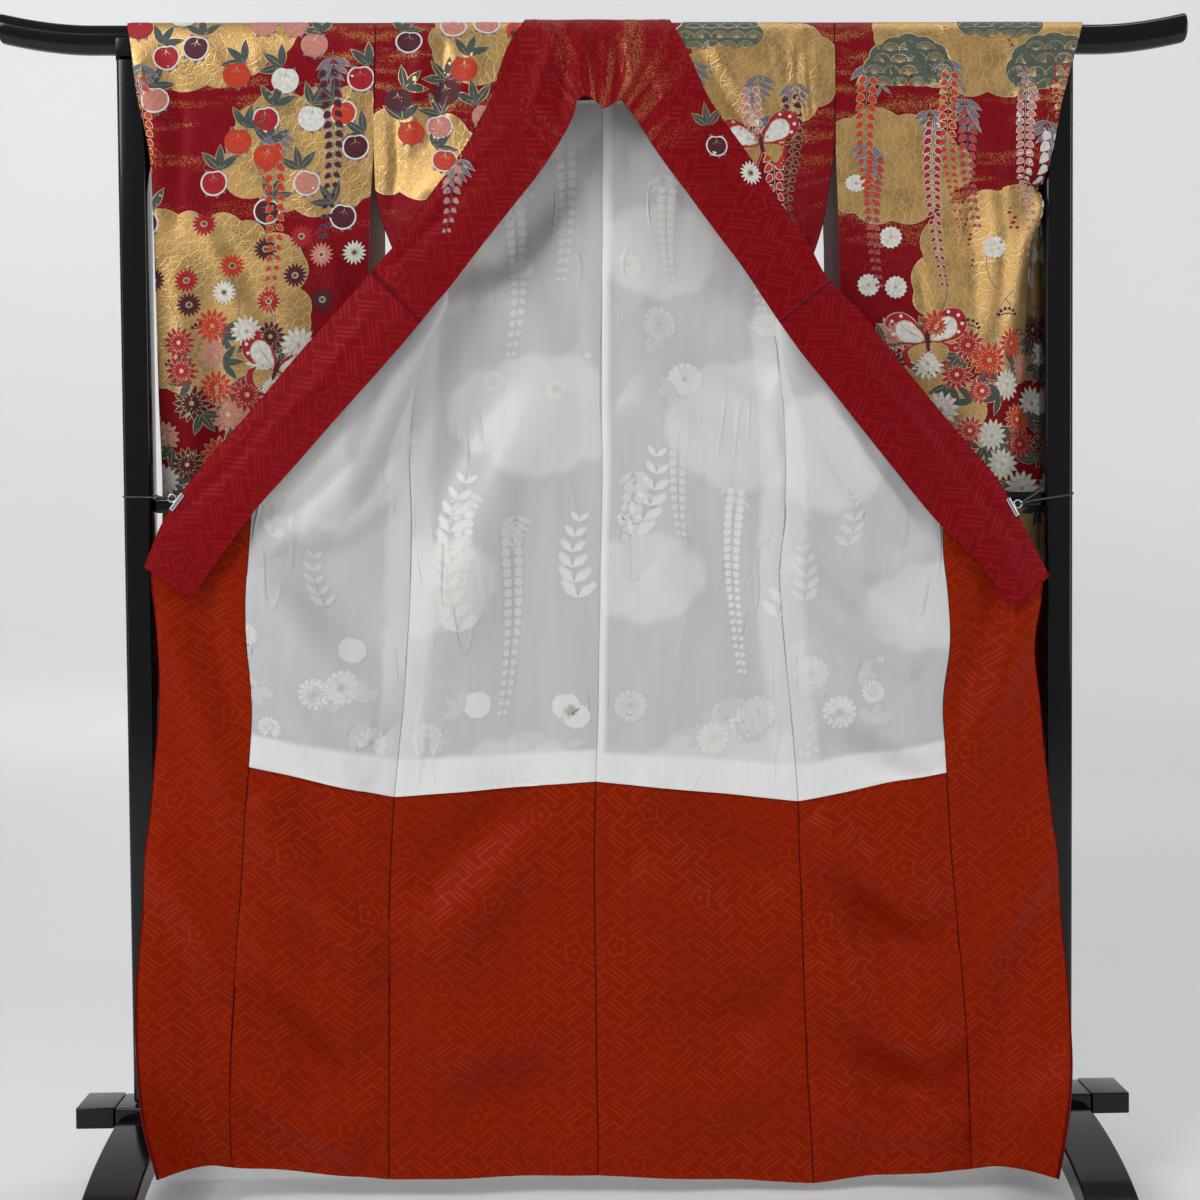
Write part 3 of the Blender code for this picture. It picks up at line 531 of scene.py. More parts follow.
def fold_back(section, row):
    """The right sleeve's front turns back behind its ridge, past the post's inner side."""
    z, _, _, _, _, back_x, back_y, _, _ = SLEEVES["right"][row - BAR_ROWS]
    ridge = section[-1]
    section[-3] = section[-3] + (ridge - section[-3]) * 0.96
    if row == SLEEVE_TURNS_ROW:
        section[-2] = point(SLEEVE_INSIDE_POST - 1, 17, z)
        section[-1] = point(SLEEVE_INSIDE_POST, back_y - 5, z)
    else:
        middle = (ridge[0] / MM + back_x) / 2
        section[-2] = point(max(SLEEVE_INSIDE_POST, middle), back_y - 5, z)
        section[-1] = point(back_x, back_y - 2.8, z)
    return section


# Fine cloth surfaces

def finer_rows(grid, cell, edges=()):
    """Smooth curves through the rows of a grid; gives the rows and where the old ones went.

    edges are extra distances from the first and the last row that get a row of their own.
    """
    gaps = np.maximum(np.linalg.norm(grid[1:] - grid[:-1], axis=2).mean(axis=1), 1e-5)
    chords = (grid[1:] - grid[:-1]) / gaps[:, None, None]
    slopes = np.empty_like(grid)
    slopes[0], slopes[-1] = chords[0], chords[-1]
    before, after = gaps[:-1, None, None], gaps[1:, None, None]
    slopes[1:-1] = (chords[1:] * before + chords[:-1] * after) / (before + after)
    rows, places = [], []
    for i, gap in enumerate(gaps):
        places.append(len(rows))
        steps = max(1, math.ceil(gap / cell))
        shares = {step / steps for step in range(steps)}
        if i == 0:
            shares |= {e / gap for e in edges if e < gap * 0.7}
        if i == len(gaps) - 1:
            shares |= {1 - e / gap for e in edges if e < gap * 0.7}
        for u in sorted(shares):
            rows.append(grid[i] * (2 * u ** 3 - 3 * u ** 2 + 1)
                        + slopes[i] * gap * (u ** 3 - 2 * u ** 2 + u)
                        + grid[i + 1] * (3 * u ** 2 - 2 * u ** 3)
                        + slopes[i + 1] * gap * (u ** 3 - u ** 2))
    places.append(len(rows))
    rows.append(grid[-1])
    return np.array(rows), places


def face_directions(points, turn):
    """Directions in which the outer face looks, at each point of a grid."""
    rows, columns = points.shape[:2]
    down = points[1:] - points[:-1]
    across = points[:, 1:] - points[:, :-1]
    total = np.zeros_like(points)
    for low in (0, 1):
        for right in (0, 1):
            corner = np.cross(down[:, right:columns - 1 + right], across[low:rows - 1 + low])
            total[low:rows - 1 + low, right:columns - 1 + right] += unit(corner)
    return unit(total) * turn


def crease_height(points, creases, broad):
    """Height of the listed creases over a grid of points, in metres.

    broad is how much more the wide creases are pressed in than the narrow ones.
    """
    flat = points[..., (0, 2)] / MM
    height = np.zeros(flat.shape[:-1])
    for lift, width, *path in creases:
        lift *= broad if width > 2 * NARROWEST else 1
        width = max(width, NARROWEST)
        nearest = np.full(height.shape, np.inf)
        along = np.zeros(height.shape)
        lengths = [math.dist(a, b) for a, b in zip(path, path[1:])]
        run = 0.0
        for start, end, length in zip(path, path[1:], lengths):
            start = np.array(start, dtype=float)
            way = np.array(end) - start
            share = np.clip(((flat - start) @ way) / length ** 2, 0, 1)
            gap = np.linalg.norm(flat - start - share[..., None] * way, axis=-1)
            closer = gap < nearest
            nearest = np.where(closer, gap, nearest)
            along = np.where(closer, (run + share * length) / sum(lengths), along)
            run += length
        height += lift * MM * np.exp(-(nearest / width) ** 2) * np.sin(np.pi * along) ** 0.6
    return height


class Panel:
    """A panel of cloth as a fine grid, with its outer face's directions and cut lengths."""

    def __init__(self, sections, turn, cell, first_row=0):
        rows, self.row_at = finer_rows(np.array(sections, dtype=float), cell)
        columns, self.column_at = finer_rows(rows.transpose(1, 0, 2), cell, SEAM_COLUMNS)
        self.points = columns.transpose(1, 0, 2)
        if first_row:
            start = self.row_at[first_row]
            self.points = self.points[start:]
            self.row_at = [place - start for place in self.row_at[first_row:]]
        self.turn = turn
        self.facing = face_directions(self.points, turn)
        self.measure()

    def measure(self):
        """Distances along the cloth: down its rows and across its columns."""
        steps = np.linalg.norm(self.points[:, 1:] - self.points[:, :-1], axis=2)
        self.across = np.concatenate([np.zeros((len(steps), 1)), np.cumsum(steps, axis=1)],
                                     axis=1)
        steps = np.linalg.norm(self.points[1:] - self.points[:-1], axis=2).mean(axis=1)
        self.down = np.concatenate([[0.0], np.cumsum(steps)])

    def crease(self, creases, towards, fade_rows=0, broad=1.0):
        """Press creases in; towards is 1 for the outer face and -1 for the lining side."""
        height = crease_height(self.points, creases, broad)
        if fade_rows:
            height *= np.clip(np.arange(len(height)) / fade_rows, 0, 1)[:, None]
        self.points = self.points + self.facing * (height * towards)[..., None]

    def pinch(self, side, first_row=0):
        """Draw the cloth beside a seam back towards its outer face."""
        away = self.across if side == "first" else self.across[:, -1:] - self.across
        dip = SEAM_DIP * np.exp(-(away / SEAM_REACH) ** 2)
        dip *= np.clip((np.arange(len(dip)) - first_row) / PINCH_ROWS + 1, 0, 1)[:, None]
        self.points = self.points + self.facing * dip[..., None]

    def seam_shade_marks(self, rows, sides):
        """Painted seam shade: 1 on the seams along the named sides, fading to 0 beside them."""
        across = self.across[rows]
        marks = np.zeros(across.shape)
        for side in sides:
            away = across if side == "first" else across[:, -1:] - across
            marks = np.maximum(marks, np.clip(1 - away / SEAM_SHADE, 0, 1))
        return marks

    def nearest(self, x, z):
        """Cut coordinates of the point nearest to x, z and the cloth's turn there."""
        gap = (self.points[..., 0] - x) ** 2 + (self.points[..., 2] - z) ** 2
        r, c = np.unravel_index(np.argmin(gap), gap.shape)
        r = min(max(r, 1), len(self.down) - 2)
        way = self.points[r + 1, c] - self.points[r - 1, c]
        return self.across[r, c], self.down[r], -math.atan2(way[0], -way[2])

    def settle(self):
        self.facing = face_directions(self.points, self.turn)

    def place(self, s, t, lift):
        """Points of the outer face at cut coordinates s across and t down, in metres."""
        rows, columns = self.points.shape[:2]
        row = np.clip(np.interp(t, self.down, np.arange(rows)), 0, rows - 1.001)
        r = row.astype(int)
        f = (row - r)[:, None]
        line = self.across[r] * (1 - f) + self.across[r + 1] * f
        c = np.clip((line < s[:, None]).sum(axis=1) - 1, 0, columns - 2)
        index = np.arange(len(s))
        low, high = line[index, c], line[index, c + 1]
        g = np.clip((s - low) / np.maximum(high - low, 1e-9), 0, 1)[:, None]

        def blend(values):
            top = values[r, c] * (1 - g) + values[r, c + 1] * g
            bottom = values[r + 1, c] * (1 - g) + values[r + 1, c + 1] * g
            return top * (1 - f) + bottom * f

        return blend(self.points) + unit(blend(self.facing)) * np.asarray(lift)[:, None]


def shell(name, panel, rows, columns, depth, thickness, material, marks, drawn_in=0.0):
    """Closed thin piece of cloth that follows part of a panel.

    depth is the distance of its outer sheet behind the panel's own outer face, and drawn_in
    how far its last edge is drawn in. marks are values stored on its points.
    """
    points, facing = panel.points[rows, columns].copy(), panel.facing[rows, columns]
    across, down = panel.across[rows, columns], panel.down[rows]
    if drawn_in:
        points[:, -1] += unit(points[:, -2] - points[:, -1]) * drawn_in
    outer = points - facing * depth
    inner = points - facing * (depth + thickness)
    vertices = np.concatenate([outer.reshape(-1, 3), inner.reshape(-1, 3)])
    size = across.size
    index = np.arange(size).reshape(across.shape)
    way = -1 if panel.turn > 0 else 1
    quads = np.stack([index[:-1, :-1], index[:-1, 1:], index[1:, 1:], index[1:, :-1]],
                     axis=-1).reshape(-1, 4)[:, ::way]
    rim = np.concatenate([index[:, 0], index[-1, 1:], index[-2::-1, -1], index[0, -2:0:-1]])
    after = np.roll(rim, -1)
    band = np.stack([rim, rim + size, after + size, after], axis=-1)[:, ::way]
    faces = np.concatenate([quads, quads[:, ::-1] + size, band])
    mesh = bpy.data.meshes.new(name)
    mesh.from_pydata(vertices, [], faces.tolist())
    flat = np.stack([across, np.broadcast_to(down[:, None], across.shape)], axis=-1)
    lay_coordinates(mesh, np.concatenate([flat.reshape(-1, 2)] * 2))
    for mark, values in marks.items():
        store_mark(mesh, mark, np.concatenate([values.ravel()] * 2))
    mesh.shade_smooth()
    mesh.validate()
    mesh.update()
    return add_piece(name, mesh, material)


def lay_coordinates(mesh, flat):
    """Store where each point lies on the flat cloth, in metres."""
    loops = np.empty(len(mesh.loops), dtype=np.int32)
    mesh.loops.foreach_get("vertex_index", loops)
    mesh.uv_layers.new(name="cloth").data.foreach_set("uv", flat[loops].ravel())


def store_mark(mesh, mark, values):
    mesh.attributes.new(mark, "FLOAT", "POINT").data.foreach_set("value", values)


def add_piece(name, mesh, material):
    """Link a finished mesh into the scene as a piece of the garment or the stand."""
    piece = bpy.data.objects.new(name, mesh)
    bpy.context.scene.collection.objects.link(piece)
    if not len(mesh.materials):
        mesh.materials.append(material)
    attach(piece, "root")
    return piece


# Materials

# Key fret of the damask: bars of one arm of its linked crosses, in threads from the cross's
# middle. The arm is turned four times about each cross, and every second cross is mirrored.
FRET_ARM = ((0, 0, 4, 0), (4, 0, 4, 12), (6, 1, 6, 11))
FRET_THREADS = 24
FRET_SIZE = 0.084
FRET_LEAN = 1.28
BLOSSOM_PITCH = 0.135
BLOSSOM_RADIUS = 0.017
TWILL_PITCH = 0.0009


class Weave:
    """A node material under construction, with short ways to add and join nodes."""

    def __init__(self, name, **sockets):
        self.material = bpy.data.materials.new(name)
        self.material.use_nodes = True
        self.tree = self.material.node_tree
        self.shader = self.tree.nodes["Principled BSDF"]
        for socket, value in sockets.items():
            self.shader.inputs[socket.replace("_", " ")].default_value = value

    def add(self, kind, *inputs, output=0, **settings):
        node = self.tree.nodes.new("ShaderNode" + kind)
        for setting, value in settings.items():
            setattr(node, setting, value)
        for i, value in enumerate(inputs):
            self.join(value, node.inputs[i])
        return node.outputs[output]

    def join(self, value, socket):
        if value is None:
            return
        if isinstance(value, bpy.types.NodeSocket):
            self.tree.links.new(value, socket)
        else:
            socket.default_value = value

    def maths(self, operation, *inputs):
        return self.add("Math", *inputs, operation=operation)

    def cloth_uv(self):
        return self.add("UVMap", uv_map="cloth")

    def mapped(self, vector, scale, degrees=0, shift=(0, 0, 0)):
        return self.add("Mapping", vector, shift, (0, 0, math.radians(degrees)), scale)

    def stretched(self, scale):
        """Cloth coordinates scaled each way."""
        return self.mapped(self.cloth_uv(), scale)

    def mark(self, name):
        """Value stored on the cloth's points."""
        return self.add("Attribute", attribute_name=name, output=2)

    def texture(self, kind, vector, result, settings, **sockets):
        node = self.tree.nodes.new("ShaderNodeTex" + kind)
        for setting, value in settings.items():
            setattr(node, setting, value)
        self.join(vector, node.inputs["Vector"])
        for socket, value in sockets.items():
            node.inputs[socket].default_value = value
        return node.outputs[result]

    def noise(self, vector, scale, detail=2.0):
        return self.texture("Noise", vector, "Fac", {}, Scale=scale, Detail=detail)

    def cells(self, vector, scale, feature="F1"):
        """Distance to the middle or the edge of the nearest cell."""
        return self.texture("Voronoi", vector, "Distance", {"feature": feature}, Scale=scale)

    def ribs(self, vector, scale, distortion=0.0):
        """Fine diagonal ribs."""
        return self.texture("Wave", vector, "Fac", {"bands_direction": "DIAGONAL"},
                            Scale=scale, Distortion=distortion)

    def repeats(self, vector):
        """Where the first two coordinates stand in their repeats, from 0 to 1."""
        parts = self.add("SeparateXYZ", vector).node.outputs
        return [self.maths("FRACT", parts[i]) for i in (0, 1)]

    def ramp(self, value, low, high, start=0.0, end=1.0):
        """Value taken from low..high to start..end, smoothly."""
        return self.add("MapRange", value, low, high, start, end,
                        interpolation_type="SMOOTHSTEP")

    def mix(self, share, first, second, blend="MIX"):
        node = self.tree.nodes.new("ShaderNodeMix")
        node.data_type = "RGBA"
        node.blend_type = blend
        self.join(share, node.inputs[0])
        self.join(first, node.inputs[6])
        self.join(second, node.inputs[7])
        return node.outputs[2]

    def bump(self, height, distance, strength=1.0, under=None):
        node = self.tree.nodes.new("ShaderNodeBump")
        node.inputs["Strength"].default_value = strength
        node.inputs["Distance"].default_value = distance
        self.join(height, node.inputs["Height"])
        self.join(under, node.inputs["Normal"])
        return node.outputs["Normal"]

    def set(self, **sockets):
        for socket, value in sockets.items():
            self.join(value, self.shader.inputs[socket.replace("_", " ")])

    def dyed(self, colour, dye):
        return self.mix(1.0, colour, dye, "MULTIPLY")

    def twill(self):
        """Ribs of a satin weave."""
        return self.ribs(self.cloth_uv(), 0.31 / TWILL_PITCH, 0.6)


def shade(colour, amount):
    return tuple(min(1.0, c * amount) for c in colour[:3]) + (1.0,)


def fret_chart():
    """One repeat of the key fret as rows of threads: True is a raised thread."""
    half = FRET_THREADS // 2
    chart = np.zeros((FRET_THREADS, FRET_THREADS), dtype=bool)
    for middle_x, middle_y in ((0, 0), (half, half), (half, 0), (0, half)):
        mirror = 1 if middle_x == middle_y else -1
        for quarter in range(4):
            for bar in FRET_ARM:
                ends = [bar[:2], bar[2:]]
                for _ in range(quarter):
                    ends = [(-y, x) for x, y in ends]
                xs, ys = zip(*[(middle_x + mirror * x, middle_y + y) for x, y in ends])
                for x in range(min(xs), max(xs) + 1):
                    for y in range(min(ys), max(ys) + 1):
                        chart[y % FRET_THREADS, x % FRET_THREADS] = True
    return chart


def fret_value(weave):
    """1 on the raised threads of the damask's key fret and on its small blossoms."""
    uv = weave.cloth_uv()
    leaning = weave.mapped(uv, (1.0, FRET_LEAN, 1.0))
    size = FRET_THREADS
    across, down = (weave.maths("MULTIPLY", place, float(size)) for place
                    in weave.repeats(weave.mapped(leaning, (1 / FRET_SIZE,) * 3, 45)))
    column = weave.maths("FLOOR", across)
    row = weave.maths("DIVIDE", weave.maths("ADD", weave.maths("FLOOR", down), 0.5), float(size))
    codes = weave.tree.nodes.new("ShaderNodeValToRGB")
    codes.color_ramp.interpolation = "CONSTANT"
    stops = codes.color_ramp.elements
    while len(stops) > 1:
        stops.remove(stops[-1])
    full = 2.0 ** size
    for i, threads in enumerate(fret_chart()):
        code = sum(2 ** k for k in np.flatnonzero(threads).tolist()) / full
        stop = stops[0] if i == 0 else stops.new(i / size)
        stop.position = i / size
        stop.color = (code, code, code, 1)
    weave.join(row, codes.inputs[0])
    code = weave.maths("MULTIPLY", weave.add("SeparateColor", codes.outputs[0]), full)
    bits = weave.maths("FLOOR", weave.maths("DIVIDE", code, weave.maths("POWER", 2.0, column)))
    thread = weave.maths("MODULO", bits, 2.0)

    spaced = weave.mapped(uv, (1 / BLOSSOM_PITCH,) * 3, 31, (0.3, 0.1, 0))
    local = [weave.maths("SUBTRACT", place, 0.5) for place in weave.repeats(spaced)]
    angle = weave.maths("ARCTAN2", local[1], local[0])
    reach = weave.maths("SQRT", weave.maths("ADD", weave.maths("POWER", local[0], 2.0),
                                            weave.maths("POWER", local[1], 2.0)))
    reach = weave.maths("MULTIPLY", reach, BLOSSOM_PITCH / BLOSSOM_RADIUS)
    lobes = weave.maths("ABSOLUTE", weave.maths("COSINE", weave.maths("MULTIPLY", angle, 2.5)))
    petal = weave.maths("MULTIPLY_ADD", lobes, 0.35, 0.65)
    inside = weave.maths("LESS_THAN", reach, petal)
    ring = weave.maths("LESS_THAN", reach, weave.maths("MULTIPLY", petal, 0.72))
    eye = weave.maths("LESS_THAN", reach, 0.22)
    blossom = weave.maths("ADD", weave.maths("SUBTRACT", inside, ring), eye)
    near = weave.maths("LESS_THAN", reach, 1.12)
    fret = weave.maths("MULTIPLY", thread, weave.maths("SUBTRACT", 1.0, near))
    return weave.maths("ADD", fret, blossom)


def damask(name, colour, lit, glossy, matt, dusted=False):
    """Figured silk: glossy raised threads of the key fret on a duller ground, their lighter
    colour a painted sheen, with painted shade along the seams.
    """
    weave = Weave(name, Specular_IOR_Level=0.30, Specular_Tint=silk_gloss(lit))
    figure = fret_value(weave)
    patches = weave.ramp(weave.noise(weave.cloth_uv(), 7.0, 3.0), 0.35, 0.65)
    strength = weave.maths("MULTIPLY_ADD", patches, 0.45, 0.55)
    figure = weave.maths("MULTIPLY", figure, strength)
    streaks = weave.noise(weave.stretched((900, 60, 1)), 1.0, 2.0)
    ground = weave.mix(weave.ramp(streaks, 0.3, 0.7), shade(colour, 0.9), shade(colour, 1.08))
    # Painted sheen: the raised threads take the lighter lit colour; painted shade darkens the
    # seams
    base = painted_seam_shade(weave, weave.mix(figure, ground, lit))
    rough = weave.maths("MULTIPLY_ADD", figure, glossy - matt, matt)
    if dusted:
        grain = gold_dust(weave)
        base = weave.mix(grain, base, (0.42, 0.17, 0.07, 1))
        weave.set(Metallic=weave.maths("MULTIPLY", grain, 0.6))
    weave.set(Base_Color=base, Roughness=rough)
    height = weave.maths("MULTIPLY_ADD", figure, 0.7,
                         weave.maths("MULTIPLY", weave.twill(), 0.25))
    ripple = weave.bump(weave.noise(weave.stretched((16, 6, 1)), 1.0, 3.0), 0.0034, 0.8)
    weave.set(Normal=weave.bump(height, 0.00045, 0.7, ripple))
    return weave.material


def silk_gloss(colour):
    """Tint of a silk's highlights: its own colour, brightened."""
    most = max(colour[:3])
    return tuple(0.12 + 0.88 * c / most for c in colour[:3]) + (1.0,)


def painted_seam_shade(weave, colour):
    """Painted shade: darkens a cloth's colour where it turns down into a seam."""
    dark = weave.dyed(colour, (0.13, 0.10, 0.10, 1))
    return weave.mix(weave.ramp(weave.mark("seam"), 0.15, 0.85), colour, dark)


def gold_dust(weave):
    """1 on the grains of gold dust, as thick as the cloth is marked for."""
    drift = weave.ramp(weave.noise(weave.stretched((7, 42, 1)), 1.0, 4.0), 0.40, 0.62)
    limit = weave.maths("MULTIPLY", weave.maths("MULTIPLY", weave.mark("dust"), drift), 0.50)
    return weave.maths("LESS_THAN", weave.cells(weave.cloth_uv(), 640.0), limit)


def printed_ground(colour):
    """Red silk ground with a fine weave, a haze of gold dust where it is marked, and painted
    shade along its seams.
    """
    weave = Weave("printed silk ground", Specular_IOR_Level=0.30,
                  Specular_Tint=silk_gloss(colour))
    streaks = weave.noise(weave.stretched((700, 50, 1)), 1.0, 2.0)
    base = weave.mix(weave.ramp(streaks, 0.3, 0.7), shade(colour, 0.80), shade(colour, 1.15))
    grain = gold_dust(weave)
    # Painted shade darkens the ground along its seams
    weave.set(Base_Color=painted_seam_shade(weave, weave.mix(grain, base, (0.50, 0.22, 0.08, 1))))
    weave.set(Metallic=weave.maths("MULTIPLY", grain, 0.6))
    weave.set(Roughness=weave.maths("MULTIPLY_ADD", streaks, 0.16, 0.36))
    wrinkle = weave.noise(weave.cloth_uv(), 28.0, 3.0)
    normal = weave.bump(wrinkle, 0.0012, 0.35)
    weave.set(Normal=weave.bump(weave.twill(), 0.0002, 0.4, normal))
    return weave.material


def gold_foil(colour, line, crackle):
    """Leaf gold pressed on silk, crossed by fine crackle lines."""
    weave = Weave("gold leaf", Metallic=0.72, Specular_IOR_Level=0.6)
    warp = weave.noise(weave.cloth_uv(), 30.0, 2.0)
    drifted = weave.mix(0.004, weave.cloth_uv(), warp, "ADD")
    coarse = weave.cells(drifted, crackle, "DISTANCE_TO_EDGE")
    fine = weave.cells(drifted, crackle * 2.7, "DISTANCE_TO_EDGE")
    edge = weave.ramp(coarse, 0.0, 0.075, 1.0, 0.0)
    hair = weave.ramp(fine, 0.0, 0.09, 0.55, 0.0)
    lines = weave.maths("MAXIMUM", edge, hair)
    cloudy = weave.ramp(weave.noise(weave.cloth_uv(), 18.0, 3.0), 0.3, 0.7)
    base = weave.mix(cloudy, shade(colour, 0.8), shade(colour, 1.12))
    weave.set(Base_Color=weave.mix(lines, base, line))
    weave.set(Roughness=weave.maths("MULTIPLY_ADD", cloudy, 0.14, 0.30))
    height = weave.maths("SUBTRACT", weave.maths("MULTIPLY", weave.twill(), 0.5), lines)
    wrinkle = weave.bump(weave.noise(weave.cloth_uv(), 40.0, 3.0), 0.0010, 0.4)
    weave.set(Normal=weave.bump(height, 0.0003, 0.5, wrinkle))
    return weave.material


def silk_ink(name, colour, second, roughness=0.5, metallic=0.0):
    """Dye or paint on silk, a little uneven, over the weave's ribs."""
    weave = Weave(name, Metallic=metallic, Roughness=roughness, Specular_IOR_Level=0.3)
    uneven = weave.ramp(weave.noise(weave.cloth_uv(), 160.0, 2.0), 0.3, 0.7)
    weave.set(Base_Color=weave.mix(uneven, colour, second))
    weave.set(Normal=weave.bump(weave.twill(), 0.00025, 0.5))
    return weave.material


def sheer_silk(white, veiled, warm):
    """Thin white silk: greyer where dark cloth lies behind it, warmer over gold or white, with
    painted shade along its seams.
    """
    weave = Weave("sheer white silk", Roughness=0.40, Specular_IOR_Level=0.36)
    crepe = weave.noise(weave.stretched((420, 9, 1)), 1.0, 3.0)
    drift = weave.noise(weave.stretched((22, 2.2, 1)), 1.0, 3.0)
    veil = weave.mix(weave.ramp(drift, 0.3, 0.7), veiled, shade(veiled, 1.09))
    seen = weave.mix(weave.mark("through"), veil, warm)
    seen = weave.mix(weave.mark("doubled"), seen, white)
    darker = weave.dyed(seen, (0.95, 0.95, 0.955, 1))
    seen = weave.mix(weave.ramp(crepe, 0.2, 0.8), darker, seen)
    # Painted shade: the lining darkens where it turns down into its seams
    dark = weave.dyed(seen, (0.42, 0.42, 0.43, 1))
    weave.set(Base_Color=weave.mix(weave.ramp(weave.mark("seam"), 0.3, 1.0), seen, dark))
    ripple = weave.noise(weave.stretched((24, 6, 1)), 1.0, 1.0)
    thread = weave.maths("ABSOLUTE", weave.maths("SUBTRACT", ripple, 0.5))
    thread = weave.ramp(thread, 0.0, 0.045, 1.0, 0.0)
    where = weave.ramp(weave.noise(weave.stretched((7, 4, 1)), 1.0, 2.0), 0.52, 0.66)
    height = weave.maths("ADD", weave.maths("MULTIPLY", thread, where),
                         weave.maths("MULTIPLY", ripple, 1.6))
    wrinkle = weave.bump(height, 0.0022, 0.8)
    weave.set(Normal=weave.bump(crepe, 0.0002, 0.5, wrinkle))
    return weave.material


def gloss_lacquer(colour, roughness):
    """Black gloss coat with the faint waviness of a sprayed finish."""
    weave = Weave("black gloss lacquer", Roughness=roughness, Coat_Weight=0.12,
                  Coat_Roughness=0.04, Specular_IOR_Level=0.28)
    place = weave.add("NewGeometry")
    dust = weave.ramp(weave.noise(place, 260.0, 3.0), 0.55, 0.8)
    weave.set(Base_Color=weave.mix(dust, colour, shade(colour, 1.9)))
    weave.set(Normal=weave.bump(weave.noise(place, 35.0, 2.0), 0.0004, 0.12))
    return weave.material


def polished_chrome(colour, roughness):
    weave = Weave("polished chrome", Metallic=1.0)
    marks = weave.noise(weave.add("NewGeometry"), 900.0, 3.0)
    weave.set(Base_Color=weave.mix(marks, shade(colour, 0.85), colour))
    weave.set(Roughness=weave.maths("MULTIPLY_ADD", marks, 0.12, roughness))
    return weave.material


def braided_elastic():
    weave = Weave("braided elastic", Roughness=0.75, Sheen_Weight=0.3)
    braid = weave.ribs(weave.add("NewGeometry"), 420.0)
    weave.set(Base_Color=weave.mix(braid, (0.006, 0.006, 0.006, 1), (0.035, 0.035, 0.035, 1)))
    weave.set(Normal=weave.bump(braid, 0.0003, 0.8))
    return weave.material


def studio_paper(colour, roughness):
    """Plain pale paper, clear from behind, so that the garment's back can be looked at too."""
    weave = Weave("studio paper", Roughness=roughness)
    place = weave.add("NewGeometry")
    mottle = weave.noise(place, 1.4, 3.0)
    weave.set(Base_Color=weave.mix(mottle, shade(colour, 0.97), colour))
    from_behind = place.node.outputs["Backfacing"]
    weave.set(Alpha=weave.maths("SUBTRACT", 1.0, from_behind))
    return weave.material


# Creases laid in the garment's plane: lift, width and the x, z points of each, all in
# millimetres. A positive lift comes towards the viewer.
BACK_CREASES = {
    "left": (
        (1.6, 4, (-14, 1310), (-18, 1240), (-13, 1160)),
        (1.3, 4, (-48, 1372), (-52, 1330), (-47, 1290)),
        (1.2, 4, (-70, 1395), (-58, 1340), (-62, 1260)),
        (1.8, 5, (-186, 1168), (-190, 1120), (-197, 1062)),
        (2.0, 5, (-252, 1072), (-243, 1000), (-232, 905)),
        (-1.5, 6, (-240, 1060), (-232, 990), (-224, 900)),
        (1.4, 4, (-228, 1000), (-236, 930), (-243, 870)),
        (1.0, 7, (-68, 1140), (-62, 900), (-66, 560)),
        (1.1, 6, (-100, 1040), (-92, 960), (-100, 880)),
        (6.0, 46, (-60, 1120), (-150, 980), (-235, 730)),
        (-5.0, 40, (-110, 1180), (-190, 1040), (-262, 860)),
        (4.0, 34, (-200, 1330), (-120, 1230), (-40, 1180)),
        (-4.0, 30, (-230, 1260), (-130, 1300), (-40, 1420)),
        (0.9, 5, (-96, 1010), (-120, 985), (-134, 960)),
        (1.0, 4, (-80, 1020), (-84, 990), (-80, 960)),
        (6.5, 42, (-262, 330), (-180, 400), (-90, 520)),
        (-5.0, 40, (-262, 430), (-170, 500), (-90, 560)),
        (5.0, 44, (-270, 250), (-190, 200), (-60, 230)),
        (-4.0, 40, (-230, 110), (-140, 150), (-40, 130)),
        (1.6, 5, (-30, 550), (-34, 480), (-24, 400)),
        (-1.4, 5, (-44, 550), (-48, 470), (-40, 380)),
        (1.0, 4, (-22, 540), (-20, 440), (-22, 330)),
        (1.0, 3, (-78, 560), (-72, 530), (-62, 505)),
    ),
    "right": (
        (2.0, 4.5, (20, 1316), (10, 1240), (8, 1150), (6, 1080), (22, 985)),
        (1.9, 4.5, (62, 1030), (58, 960), (50, 838)),
        (1.2, 4, (57, 760), (60, 660), (58, 552)),
        (1.4, 4, (29, 1484), (27, 1440), (29, 1400)),
        (1.0, 4, (98, 1455), (110, 1400), (104, 1350)),
        (0.9, 6, (240, 980), (236, 830), (238, 690)),
        (-1.6, 7, (251, 1130), (250, 980), (246, 820)),
        (5.0, 44, (40, 1120), (130, 1040), (230, 990)),
        (-4.5, 40, (60, 1240), (150, 1160), (245, 1130)),
        (4.0, 40, (60, 860), (140, 780), (220, 640)),
        (-3.5, 36, (110, 900), (190, 820), (240, 720)),
        (0.8, 4, (120, 940), (138, 905), (130, 880)),
        (6.0, 44, (40, 450), (130, 380), (250, 300)),
        (-5.0, 38, (60, 540), (160, 480), (250, 420)),
        (5.0, 42, (50, 170), (150, 130), (260, 160)),
        (-4.0, 36, (60, 260), (160, 230), (260, 250)),
        (1.5, 5, (14, 560), (20, 480), (34, 380)),
        (-1.4, 5, (2, 545), (6, 460), (14, 350)),
        (1.2, 4, (44, 552), (52, 500), (60, 440)),
    ),
}
